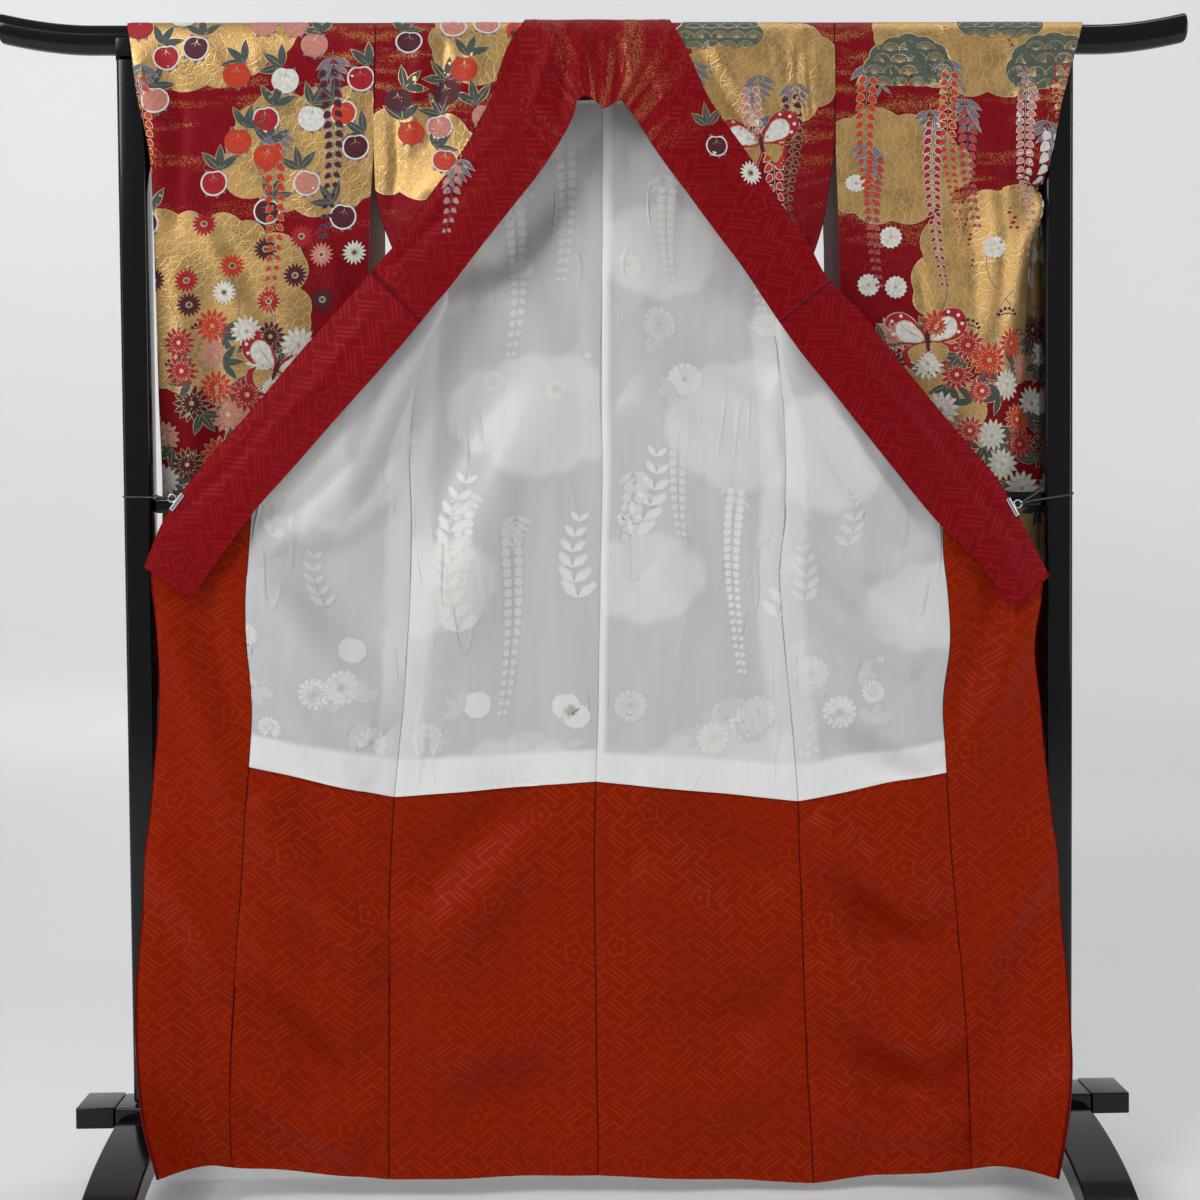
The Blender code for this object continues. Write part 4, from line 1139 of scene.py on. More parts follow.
FRONT_CREASES = {
    "left": (
        (-8.0, 16, (-300, 1130), (-330, 1020), (-420, 950), (-470, 960)),
        (6.0, 15, (-270, 1060), (-300, 960), (-360, 915), (-440, 915)),
        (1.4, 4, (-352, 990), (-358, 940), (-352, 895)),
        (1.2, 4, (-340, 985), (-338, 940), (-344, 900)),
        (1.3, 4, (-325, 990), (-320, 950), (-326, 915)),
        (-1.2, 4, (-332, 985), (-329, 945), (-334, 905)),
        (1.2, 5, (-365, 975), (-374, 930), (-380, 890)),
        (6.0, 34, (-470, 870), (-400, 760), (-300, 650)),
        (-5.0, 32, (-440, 900), (-350, 800), (-272, 740)),
        (4.0, 30, (-470, 760), (-420, 660), (-330, 570)),
        (1.0, 5, (-300, 900), (-292, 780), (-290, 640)),
        (7.0, 34, (-478, 560), (-400, 440), (-312, 300)),
        (-6.0, 32, (-440, 560), (-370, 440), (-305, 380)),
        (5.0, 34, (-500, 400), (-430, 300), (-330, 210)),
        (-5.0, 34, (-505, 300), (-430, 210), (-340, 130)),
        (5.0, 30, (-505, 170), (-420, 110), (-330, 70)),
    ),
    "right": (
        (-9.0, 16, (262, 1110), (310, 1010), (380, 900), (412, 880)),
        (7.5, 14, (300, 1120), (350, 1010), (408, 930), (440, 905)),
        (5.5, 15, (370, 860), (410, 868), (450, 900), (462, 950)),
        (1.3, 5, (300, 900), (340, 870), (400, 850)),
        (6.0, 30, (262, 880), (330, 800), (430, 720)),
        (-5.0, 30, (262, 960), (330, 850), (440, 780)),
        (4.0, 30, (270, 760), (360, 660), (460, 600)),
        (-4.0, 26, (300, 640), (380, 590), (460, 560)),
        (6.0, 34, (284, 520), (370, 440), (470, 380)),
        (-6.0, 30, (290, 440), (390, 350), (480, 320)),
        (6.0, 34, (290, 320), (380, 230), (490, 190)),
        (-5.0, 34, (290, 230), (390, 150), (500, 120)),
        (5.0, 30, (300, 120), (400, 90), (500, 100)),
    ),
}
OKUMI_CREASES = {
    "left": (
        (4.0, 30, (-600, 820), (-540, 700), (-500, 520)),
        (-4.0, 26, (-560, 860), (-520, 700), (-496, 600)),
        (4.0, 30, (-630, 520), (-570, 400), (-520, 280)),
        (-3.5, 26, (-600, 420), (-560, 260), (-530, 140)),
    ),
    "right": (
        (4.0, 28, (590, 830), (540, 700), (480, 560)),
        (-4.0, 26, (550, 860), (510, 740), (474, 640)),
        (4.0, 30, (625, 500), (560, 380), (500, 290)),
        (-3.5, 26, (600, 400), (560, 260), (520, 150)),
    ),
}
COLLAR_CREASES = (
    (-3.2, 5, (-36, 1606), (-44, 1560), (-52, 1478)),
    (3.0, 5, (-40, 1602), (-30, 1570), (-20, 1535)),
    (-2.6, 4, (-4, 1626), (-6, 1600), (-3, 1560)),
    (2.2, 4, (-14, 1622), (-16, 1590), (-14, 1545)),
    (-2.2, 5, (18, 1624), (26, 1590), (30, 1530)),
    (2.0, 5, (30, 1620), (40, 1580), (52, 1500)),
    (2.4, 5, (-60, 1612), (-72, 1560), (-90, 1500)),
    (1.6, 6, (60, 1612), (76, 1560), (96, 1500)),
    (0.9, 6, (-110, 1480), (-180, 1420), (-240, 1340)),
    (-1.1, 7, (-150, 1420), (-210, 1350), (-300, 1262)),
    (1.0, 6, (-300, 1230), (-380, 1120), (-470, 1040)),
    (-0.8, 6, (-420, 1100), (-500, 1010), (-590, 930)),
    (1.0, 6, (110, 1470), (190, 1400), (250, 1320)),
    (-1.1, 7, (170, 1400), (240, 1330), (300, 1240)),
    (1.1, 6, (300, 1200), (380, 1110), (470, 1010)),
    (-0.8, 6, (430, 1080), (500, 980), (580, 890)),
)
SLEEVE_CREASES = {
    "left": (
        (3.0, 12, (-630, 1585), (-600, 1480), (-606, 1330)),
        (-2.6, 10, (-600, 1600), (-570, 1500), (-585, 1330)),
        (2.2, 12, (-560, 1610), (-500, 1540), (-420, 1500)),
        (-2.0, 12, (-620, 1560), (-540, 1480), (-450, 1440)),
        (2.4, 14, (-600, 1420), (-540, 1340), (-480, 1200)),
        (-2.2, 14, (-560, 1400), (-500, 1300), (-440, 1180)),
        (2.0, 12, (-420, 1420), (-380, 1330), (-350, 1220)),
        (3.0, 16, (-590, 1300), (-570, 1150), (-575, 950)),
        (-2.4, 14, (-540, 1260), (-530, 1100), (-535, 900)),
        (1.2, 5, (-330, 1600), (-338, 1540), (-330, 1480)),
        (1.0, 5, (-470, 1600), (-462, 1560), (-450, 1510)),
        (3.0, 18, (-560, 860), (-540, 760), (-545, 620)),
        (-3.0, 18, (-480, 880), (-470, 740), (-480, 620)),
    ),
    "right": (
        (3.0, 12, (420, 1612), (442, 1560), (500, 1480), (530, 1400)),
        (-3.0, 12, (396, 1600), (430, 1540), (480, 1450)),
        (-2.4, 9, (560, 1615), (590, 1540), (600, 1450)),
        (3.0, 12, (640, 1600), (612, 1500), (594, 1380)),
        (-2.6, 10, (600, 1560), (570, 1440), (566, 1330)),
        (2.6, 12, (540, 1440), (552, 1330), (548, 1200)),
        (-2.4, 12, (500, 1400), (516, 1280), (520, 1150)),
        (2.2, 14, (400, 1380), (440, 1260), (460, 1120)),
        (2.0, 6, (470, 1612), (474, 1570), (462, 1530)),
        (-1.8, 5, (350, 1600), (356, 1560), (348, 1520)),
        (3.0, 16, (440, 880), (450, 760), (440, 620)),
        (-3.0, 16, (520, 880), (530, 760), (520, 620)),
    ),
}
SHOULDER_CREASES = {
    "left": (
        (2.0, 7, (-240, 1610), (-250, 1520), (-262, 1430)),
        (-2.4, 7, (-210, 1606), (-215, 1520), (-236, 1440)),
        (2.0, 8, (-160, 1606), (-180, 1530), (-210, 1470)),
        (-1.6, 6, (-280, 1500), (-276, 1420), (-288, 1350)),
    ),
    "right": (
        (-3.0, 6, (126, 1596), (170, 1520), (226, 1440)),
        (2.4, 7, (150, 1600), (190, 1530), (240, 1450)),
        (2.2, 6, (272, 1610), (270, 1540), (284, 1440)),
        (-2.4, 6, (286, 1606), (286, 1540), (296, 1440)),
        (-1.6, 6, (230, 1600), (236, 1540), (262, 1460)),
    ),
}

# Broad soft waves that cross from panel to panel of the skirt
SKIRT_RIPPLES = {
    "left": (
        (3.0, 60, (-640, 620), (-430, 500), (-200, 330), (-20, 300)),
        (-3.0, 55, (-640, 480), (-430, 330), (-220, 180), (-30, 150)),
        (2.6, 60, (-600, 260), (-420, 170), (-220, 80)),
        (-2.4, 36, (-120, 560), (-150, 420), (-140, 250)),
        (2.4, 34, (-340, 540), (-350, 400), (-330, 240)),
    ),
    "right": (
        (3.0, 60, (20, 330), (200, 400), (400, 500), (620, 560)),
        (-3.0, 55, (30, 190), (200, 240), (400, 370), (620, 420)),
        (2.6, 60, (100, 90), (260, 120), (420, 220), (620, 300)),
        (-2.4, 36, (120, 560), (140, 420), (110, 260)),
        (2.4, 34, (350, 540), (330, 400), (350, 240)),
    ),
}

# How strongly the creases of each part are pressed in
BODY_CREASE = 1.3
BODY_BROAD = 3.0
SLEEVE_CREASE = 2.1
SLEEVE_BACK_CREASE = 0.5
COLLAR_CREASE = 2.6

# Rows of points over which the creases grow from nothing below a part's top, and a seam's dip
# above its first row
BODY_FADE = 24
SHOULDER_FADE = 6
SLEEVE_FADE = 5
PINCH_ROWS = 4

# A seam's dip towards the outer side, how far it reaches and how far painted shade darkens it,
# and how far two creased panels ease towards their common seam
SEAM_DIP = 1.7 * MM
SEAM_REACH = 5.0 * MM
SEAM_SHADE = 2.4 * MM
EASE_REACH = 30.0 * MM

# The doubled cloth under the sheer lining: seam allowances beside the side and centre seams and
# the turned-up strip over its lower edge
ALLOWANCE_SIDE = 34 * MM
ALLOWANCE_CENTRE = 11 * MM
LINING_HEM = 50 * MM


def build_panels(cell):
    """All cloth surfaces, creased, with shared seams."""
    panels = {}
    rows = range(HEM + 1)
    for side, turn in (("left", 1), ("right", -1)):
        back, front = (Panel(add_folds(part + side, np.array([section(side, r) for r in rows])),
                             turn, cell)
                       for part, section in (("back_", back_section), ("front_", front_section)))
        okumi = Panel([okumi_section(side, r) for r in range(OKUMI_TOP - 1, HEM + 1)], turn,
                      cell, first_row=1)
        seam_back, seam_front = back.row_at[UNDERARM], front.row_at[UNDERARM]
        seam_okumi = front.row_at[OKUMI_TOP]
        seams = ((back, seam_back, front, seam_front), (front, seam_okumi, okumi, 0))
        back.facing[0] = front.facing[0] = UP
        back.facing[:, 0, 0] = 0
        back.facing[:, 0] = unit(back.facing[:, 0])
        for seam in seams:
            join_rows(*seam)
        for panel, creases, fade in ((back, BACK_CREASES, BODY_FADE),
                                     (front, FRONT_CREASES, BODY_FADE),
                                     (okumi, OKUMI_CREASES, 0)):
            panel.crease(creases[side], -BODY_CREASE, fade, BODY_BROAD)
            panel.crease(SKIRT_RIPPLES[side], -1, fade)
        front.crease(SHOULDER_CREASES[side], SLEEVE_CREASE, SHOULDER_FADE)
        for panel, edge, first_row in ((back, "first", 0), (back, "last", seam_back),
                                       (front, "first", seam_front),
                                       (front, "last", seam_okumi), (okumi, "first", 0)):
            panel.pinch(edge, first_row)
        for panel in (back, front, okumi):
            panel.settle()
        for seam in seams:
            meet(*seam)
        for panel in (back, front, okumi):
            panel.settle()
        back.facing[0] = front.facing[0] = UP
        for seam in seams:
            join_rows(*seam)
        panels["back_" + side] = back
        panels["front_" + side] = front
        panels["okumi_" + side] = okumi
        for wall_name, face, press in (("front", -turn, SLEEVE_CREASE),
                                       ("back", turn, -SLEEVE_BACK_CREASE)):
            sleeve = Panel([sleeve_section(side, r, wall_name)
                            for r in range(BAR_ROWS + len(SLEEVES[side]))], face, cell)
            sleeve.facing[0] = UP
            sleeve.crease(SLEEVE_CREASES[side], press, SLEEVE_FADE)
            sleeve.settle()
            sleeve.facing[0] = UP
            panels["sleeve_%s_%s" % (side, wall_name)] = sleeve
    sections = [collar_section("left", r) for r in range(BAND_END, -1, -1)]
    sections += [wrap_row(*row) for row in NECK]
    sections += [collar_section("right", r) for r in range(BAND_END + 1)]
    collar = Panel(sections, -1, cell)
    collar.crease(COLLAR_CREASES, COLLAR_CREASE)
    collar.settle()
    panels["collar"] = collar
    return panels


def meet(first, first_row, second, second_row):
    """Bring two creased panels back together along their seam, easing into each panel."""
    seams = [(first, -1, first_row), (second, 0, second_row)]
    edges = [panel.points[row:, column].copy() for panel, column, row in seams]
    for (panel, column, row), own, other in zip(seams, edges, reversed(edges)):
        across = panel.across[row:]
        away = across if column == 0 else across[:, -1:] - across
        ease = np.exp(-(away / EASE_REACH) ** 2)
        for axis in (0, 1):
            place = np.interp(-own[:, 2], -other[:, 2], other[:, axis])
            panel.points[row:, :, axis] += ((place - own[:, axis]) / 2)[:, None] * ease


def join_rows(first, first_row, second, second_row):
    """Give a panel's last edge and the next one's first the same directions, from their rows
    down, so that their walls meet."""
    tall = min(len(first.points) - first_row, len(second.points) - second_row)
    own = first.facing[first_row:first_row + tall, -1]
    other = second.facing[second_row:second_row + tall, 0]
    own[...] = other[...] = unit(own + other)


# Stand pieces

def swept(mesh_bm, rings):
    """Closed tube through rings of points, each end closed with one face."""
    loops = [[mesh_bm.verts.new(p) for p in ring] for ring in rings]
    count = len(loops[0])
    for first, second in zip(loops, loops[1:]):
        for i in range(count):
            j = (i + 1) % count
            mesh_bm.faces.new((first[i], first[j], second[j], second[i]))
    mesh_bm.faces.new(loops[0][::-1])
    mesh_bm.faces.new(loops[-1])


def smooth_piece(name, mesh_bm, material):
    """Finish a mesh under construction as a smooth-shaded piece."""
    mesh = bpy.data.meshes.new(name)
    mesh_bm.to_mesh(mesh)
    mesh_bm.free()
    mesh.shade_smooth()
    return add_piece(name, mesh, material)


def swept_piece(name, rings, material):
    mesh_bm = bmesh.new()
    swept(mesh_bm, rings)
    bmesh.ops.recalc_face_normals(mesh_bm, faces=mesh_bm.faces)
    return smooth_piece(name, mesh_bm, material)


def soften(piece, width, segments, angle):
    """Round the piece's edges and keep its flats flat."""
    bevel = piece.modifiers.new("rounded edges", "BEVEL")
    bevel.width = width
    bevel.segments = segments
    bevel.limit_method = "ANGLE"
    bevel.angle_limit = math.radians(angle)
    bevel.harden_normals = True


# Half outline of the bar, from its top round the front to its bottom: depth, height
BAR_OUTLINE = ((0, 20), (7, 18.8), (11.8, 15), (14.6, 9.5), (16.5, 3.5), (16.5, -3.5),
               (15.0, -10), (11.5, -15.6), (6.5, -19))


def bar_ring(count):
    """Smooth closed outline of the bar's section."""
    half = [(-y * MM, z * MM) for y, z in BAR_OUTLINE]
    corners = np.array(half + [(0.0, -20 * MM)] + [(-y, z) for y, z in half[:0:-1]])
    closed = np.concatenate([corners[-2:], corners, corners[:3]])
    ring = []
    for i in range(len(corners)):
        p0, p1, p2, p3 = closed[i + 1:i + 5]
        for step in range(count):
            u = step / count
            ring.append(0.5 * (2 * p1 + (p2 - p0) * u + (2 * p0 - 5 * p1 + 4 * p2 - p3) * u * u
                               + (3 * p1 - p0 - 3 * p2 + p3) * u ** 3))
    return ring


def tip_rise(x):
    along = max(0.0, abs(x) - (BAR_HALF - BAR_TIP_LENGTH)) / BAR_TIP_LENGTH
    return BAR_TIP_RISE * along ** 1.8


def build_bar(material):
    """Lacquered bar with a fine lip where its raised ends close."""
    ring = bar_ring(4)
    centre_z = BAR_TOP - BAR_HEIGHT / 2
    straight = BAR_HALF - BAR_TIP_LENGTH
    half = [*np.linspace(0.02, straight, 14),
            *np.linspace(straight, BAR_HALF - 0.004, 16)[1:]]
    sizes = [1.0] * len(half)
    for inset, size in ((0.0030, 0.995), (0.0016, 0.97), (0.0006, 0.92), (0.0, 0.84)):
        half.append(BAR_HALF - inset)
        sizes.append(size)
    stations = [(-x, s) for x, s in zip(half[::-1], sizes[::-1])] + list(zip(half, sizes))
    rings = [[(x, y * size, centre_z + tip_rise(x) + z * size) for y, z in ring]
             for x, size in stations]
    piece = swept_piece("kimono_stand_bar", rings, material)
    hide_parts("bar")


def foot_arc(reach, crest, low, high, count):
    """Depth and height of an elliptical arch, from one depth to another."""
    first, last = math.acos(low / reach), math.acos(high / reach)
    angles = [first + (last - first) * i / (count - 1) for i in range(count)]
    return [(reach * math.cos(a), crest * math.sin(a)) for a in angles]


def build_foot(side, sign, end, end_sign, material):
    """Half of an arched foot, from the shelf's face to its flat toe."""
    start = SHELF_DEPTH / 2 + FIT_GAP
    outer = foot_arc(FOOT_REACH, FOOT_CREST, start, FOOT_REACH - TOE_ROUND, 36)
    inner = foot_arc(FOOT_INNER_REACH, FOOT_INNER_CREST, start, FOOT_INNER_REACH, 30)
    toe = [(FOOT_REACH, 2 * TOE_ROUND), (FOOT_REACH - TOE_ROUND, 0)]
    inner[-1] = (FOOT_INNER_REACH, 0)
    outline = outer[:-1] + toe + inner[::-1]
    rings = [[(sign * POST_X + at, end_sign * y, z) for y, z in outline]
             for at in (-FOOT_WIDTH / 2, FOOT_WIDTH / 2)]
    piece = swept_piece("kimono_stand_foot_%s_%s" % (side, end), rings, material)
    soften(piece, 0.0028, 4, 40)
    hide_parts("foot_%s_%s" % (side, end))


def wire(name, route, radius, sides, material):
    """Round wire along a closed route of points."""
    route = np.array([tuple(p) for p in route])
    count = len(route)
    rings = []
    up = np.array((0.0, 0.0, 1.0))
    for i in range(count):
        along = unit(route[(i + 1) % count] - route[i - 1])
        first = np.cross(along, up)
        if np.linalg.norm(first) < 0.2:
            first = np.cross(along, (0, 1.0, 0))
        first = unit(first)
        second = np.cross(along, first)
        rings.append([route[i] + radius * (first * math.cos(a) + second * math.sin(a))
                      for a in np.linspace(0, 2 * math.pi, sides, endpoint=False)])
    vertices = np.array(rings).reshape(-1, 3)
    faces = []
    for i in range(count):
        j = (i + 1) % count
        shift = min(range(sides), key=lambda k: np.linalg.norm(rings[i][0] - rings[j][k]))
        for k in range(sides):
            m = (k + 1) % sides
            faces.append((i * sides + k, i * sides + m, j * sides + (m + shift) % sides,
                          j * sides + (k + shift) % sides))
    mesh = bpy.data.meshes.new(name)
    mesh.from_pydata(vertices, [], faces)
    mesh.shade_smooth()
    return add_piece(name, mesh, material)


def clip_frame(side):
    """Place of a clip: along runs along the band's edge, outward leaves the cloth."""
    x, y, z, lean = CLIPS[side]
    sign = SIGN[side]
    origin = Vector((x * MM, y * MM, z * MM))
    angle = math.radians(lean)
    along = Vector((math.sin(angle), 0, math.cos(angle)))
    outward = Vector((sign * math.cos(angle), 0, -sign * math.sin(angle)))
    return origin, along, outward


def rounded_boxes(name, boxes, material):
    """One piece of lacquered bars: low corner, high corner and edge radius of each."""
    mesh_bm = bmesh.new()
    for low, high, radius in boxes:
        made = [mesh_bm.verts.new((x, y, z)) for x in (low[0], high[0])
                for y in (low[1], high[1]) for z in (low[2], high[2])]
        faces = [mesh_bm.faces.new([made[i] for i in face])
                 for face in ((0, 1, 3, 2), (4, 6, 7, 5), (0, 4, 5, 1), (2, 3, 7, 6),
                              (0, 2, 6, 4), (1, 5, 7, 3))]
        bmesh.ops.recalc_face_normals(mesh_bm, faces=faces)
        edges = list({edge for face in faces for edge in face.edges})
        bmesh.ops.bevel(mesh_bm, geom=edges, offset=radius, segments=5, profile=0.5,
                        affect="EDGES", clamp_overlap=True)
    return smooth_piece(name, mesh_bm, material)


def jaw_outline(half_gap, half_all):
    """Section of the folded jaws: reach from the cloth's edge, depth."""
    upper = [(-JAW_REACH, -half_gap), (-JAW_REACH - 0.0002, -half_all + 0.0003),
             (-JAW_REACH + 0.0003, -half_all), (JAW_WEB - 0.0016, -half_all),
             (JAW_WEB - 0.0005, -half_all + 0.0004), (JAW_WEB, -half_all + 0.0015)]
    within = JAW_WEB - JAW_SHEET
    return upper + [(reach, -depth) for reach, depth in upper[::-1]] + [
        (within - 0.0010, half_gap), (within, half_gap - 0.0010),
        (within, -half_gap + 0.0010), (within - 0.0010, -half_gap)]


def build_clip(side, material):
    """Folded jaws that hold the band, and the ring in their web."""
    origin, along, outward = clip_frame(side)
    half_all = JAW_GAP / 2 + JAW_SHEET
    deep = Vector((0, 1, 0))
    rings = []
    for at in np.linspace(-JAW_LENGTH / 2, JAW_LENGTH / 2, 31):
        share = abs(at) / (JAW_LENGTH / 2)
        rib = 0.00018 * math.cos(at / JAW_LENGTH * math.pi * 18)
        trim = 0.0006 if share > 0.985 else 0.0
        ring = []
        for reach, depth in jaw_outline(JAW_GAP / 2, half_all):
            swell = 1 + rib / half_all if reach < JAW_WEB - 0.002 else 1.0
            place = origin + outward * (reach + (trim if reach < -0.004 else 0.0))
            ring.append(place + deep * depth * swell + along * at)
        rings.append(ring)
    mesh_bm = bmesh.new()
    swept(mesh_bm, rings)
    centre = origin + outward * RING_OUT
    turns, sides = 48, 12
    hoop = []
    for i in range(turns):
        a = 2 * math.pi * i / turns
        spoke = outward * math.cos(a) + along * math.sin(a)
        hoop.append([mesh_bm.verts.new(
            centre + spoke * (RING_RADIUS + RING_WIRE * math.cos(b)) + deep * RING_WIRE
            * math.sin(b)) for b in np.linspace(0, 2 * math.pi, sides, endpoint=False)])
    for i in range(turns):
        for j in range(sides):
            k, m = (i + 1) % turns, (j + 1) % sides
            mesh_bm.faces.new((hoop[i][j], hoop[k][j], hoop[k][m], hoop[i][m]))
    bmesh.ops.recalc_face_normals(mesh_bm, faces=mesh_bm.faces)
    piece = smooth_piece("band_clip_" + side, mesh_bm, material)
    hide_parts("clip_" + side)


def tie_route(side, sign):
    """Corners of the elastic's loop, through the clip's ring and round the post."""
    origin, _, outward = clip_frame(side)
    ring_centre = origin + outward * RING_OUT
    out = POST_WIDTH / 2 + TIE_WIRE + TIE_CLEARANCE
    deep = POST_DEPTH / 2 + TIE_WIRE + TIE_CLEARANCE
    soft = 0.005
    over_rail = RAIL_Z + RAIL_HEIGHT / 2 + TIE_WIRE + 0.003
    lift = over_rail - ring_centre.z
    corners = [(out - soft, -deep), (out, -deep + soft), (out, deep - soft), (out - soft, deep),
               (-out + soft, deep), (-out, deep - soft), (-out, -deep + soft)]
    route = [ring_centre + Vector((sign * 0.003, -0.0035, 0)),
             ring_centre + Vector((sign * 0.020, -0.0010, lift * 0.2))]
    for share, (x, y) in zip((0.6, 0.7, 0.9, 1, 1, 1, 1), corners):
        route.append(Vector((sign * (POST_X + x), y, ring_centre.z + lift * share)))
    route += [ring_centre + Vector((sign * 0.016, 0.016, lift * 0.3)),
              ring_centre + Vector((sign * 0.003, 0.0035, 0))]
    return route


def build_tie(side, sign, material):
    """Round elastic that turns closely round the corners of its route."""
    route = [np.array(tuple(p)) for p in tie_route(side, sign)]
    count = len(route)
    smooth = []
    for i in range(count):
        before, here, after = route[i - 1], route[i], route[(i + 1) % count]
        into = here + (before - here) * min(0.5, TIE_BEND / np.linalg.norm(before - here))
        out = here + (after - here) * min(0.5, TIE_BEND / np.linalg.norm(after - here))
        for u in (0, 0.25, 0.5, 0.75, 1):
            smooth.append(into * (1 - u) ** 2 + here * 2 * u * (1 - u) + out * u ** 2)
    piece = wire("elastic_tie_" + side, smooth, TIE_WIRE, 10, material)
    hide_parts("tie_" + side)


# Printed figures. Every figure is a list of shapes in millimetres, x across and y down the
# cloth. A shape is an ink, its outline, for a ribbon its faces, and its level over the others.

def turned(flat, turn):
    c, s = math.cos(turn), math.sin(turn)
    return np.asarray(flat, dtype=float) @ np.array(((c, s), (-s, c)))


def leaf_outline(length, width, turn, x=0.0, y=0.0, blunt=0.0):
    """Pointed leaf from its stalk at x, y; turn 0 points up the cloth."""
    shares = np.linspace(0, 1, 6)
    half = width / 2 * np.sin(math.pi * shares ** (0.85 - 0.3 * blunt)) ** (1.0 - 0.4 * blunt)
    right = np.stack([half, -length * shares], axis=-1)
    left = right[-2:0:-1] * (-1, 1)
    return turned(np.concatenate([right, left]), turn) + (x, y)


def ribbon(ink, path, width, end_width=None, level=0):
    """Line of even or tapering width along a path."""
    path = np.asarray(path, dtype=float)
    way = np.gradient(path, axis=0)
    side = unit(np.stack([-way[:, 1], way[:, 0]], axis=-1))
    widths = np.linspace(width, width if end_width is None else end_width, len(path))
    half = side * widths[:, None] / 2
    count = len(path)
    points = np.concatenate([path + half, path - half])
    faces = [(i, i + 1, count + i + 1, count + i) for i in range(count - 1)]
    return (ink, points, faces, level)


def arc(start, end, bend, count=9):
    """Curve from start to end that bows sideways by a share of its length."""
    start, end = np.array(start, dtype=float), np.array(end, dtype=float)
    way = end - start
    side = np.array((-way[1], way[0]))
    shares = np.linspace(0, 1, count)[:, None]
    return start + way * shares + side * bend * 4 * shares * (1 - shares)


def blade(ink, x, y, turn, length, width, blunt=0.0, level=0):
    return (ink, leaf_outline(length, width, turn, x, y, blunt), None, level)


def dot(ink, x, y, half_x, half_y, count=12, level=0):
    angles = np.linspace(0, 2 * math.pi, count, endpoint=False)
    outline = np.stack([half_x * np.cos(angles), half_y * np.sin(angles)], axis=-1) + (x, y)
    return (ink, outline, None, level)


def leafy(ink, x, y, turn, length, width):
    """Leaf with a gold rim and middle vein."""
    vein = turned(((0, -length * 0.06), (0, -length * 0.9)), turn) + (x, y)
    return [blade("gold line", x, y, turn, length * 1.04, width * 1.22),
            blade(ink, x, y, turn, length, width, level=1),
            ribbon("gold line", vein, 0.6, 0.3, 2)]


def fruit(radius, ink, rim="white"):
    """Round fruit with a cleft, its grain lines and small blue-grey sepals."""
    shapes = [blade("lilac", *turned((0, -radius * 0.75), turn), turn, radius * 0.6,
                    radius * 0.42) for turn in (0.5, -0.6, 2.5, -2.4, 3.3)]
    angles = np.linspace(0, 2 * math.pi, 28, endpoint=False)
    dent = 1 - 0.16 * np.exp(-((angles - 1.5 * math.pi) / 0.32) ** 2)
    round_out = np.stack([1.05 * np.cos(angles) * dent, np.sin(angles) * dent], axis=-1)
    shapes.append((rim, round_out * radius * 1.09, None, 1))
    shapes.append((ink, round_out * radius * 0.95, None, 2))
    line = "gold line" if ink != "white" else "warm grey"
    for bend, reach in ((0.22, 0.5), (-0.22, 0.5), (0.05, 0.62)):
        shapes.append(ribbon(line, arc((0, -radius * 0.72), (bend * radius * 2, -radius * 0.72
                                                            + reach * radius), bend),
                             0.7, 0.3, 3))
    return shapes


def three_leaves(length):
    """Three leaves that spread from one stalk."""
    shapes = []
    for turn in (0.15, 1.0, -0.75):
        shapes += leafy("leaf", 0, 0, turn, length, length * 0.34)
    return shapes


def daisy(radius, ink, petals=16):
    shapes = []
    for i in range(petals):
        turn = 2 * math.pi * i / petals
        x, y = turned((0, -radius * 0.2), turn)
        shapes.append(blade(ink, x, y, turn, radius * 0.82, radius * 0.27, 0.8))
    shapes.append(dot("gold line", 0, 0, radius * 0.29, radius * 0.27, level=1))
    shapes.append(dot("leaf", 0, 0, radius * 0.17, radius * 0.15, count=8, level=2))
    return shapes


def chrysanthemum(radius, ink, rim="gold line", petals=14):
    """Large flower of two rings of outlined petals."""
    shapes = []
    for ring, (reach, start) in enumerate(((1.0, 0.30), (0.62, 0.10))):
        for i in range(petals):
            turn = 2 * math.pi * (i + 0.5 * ring) / petals
            x, y = turned((0, -radius * start * 0.5), turn)
            width = radius * reach * 0.40
            length = radius * reach - radius * start * 0.5
            shapes.append(blade(rim, x, y, turn, length, width, 1.0, 2 * ring))
            x, y = turned((0, -radius * start * 0.5 - length * 0.05), turn)
            shapes.append(blade(ink, x, y, turn, length * 0.90, width * 0.72, 1.0,
                                2 * ring + 1))
    shapes.append(dot(rim, 0, 0, radius * 0.13, radius * 0.13, count=10, level=4))
    return shapes


def dianthus(radius, ink="white"):
    shapes = []
    for i in range(5):
        turn = 2 * math.pi * i / 5
        petal = [(0, 0)]
        for j, share in enumerate(np.linspace(-0.62, 0.62, 7)):
            reach = radius * (1.0 if j % 2 else 0.86)
            petal.append((reach * math.sin(share), -reach * math.cos(share)))
        shapes.append((ink, turned(petal, turn), None, 0))
        shapes.append(ribbon("warm grey", turned(((0, -radius * 0.2), (0, -radius * 0.6)), turn),
                             0.5, 0.3, 1))
    shapes.append(dot("gold line", 0, 0, radius * 0.14, radius * 0.14, count=8, level=2))
    return shapes


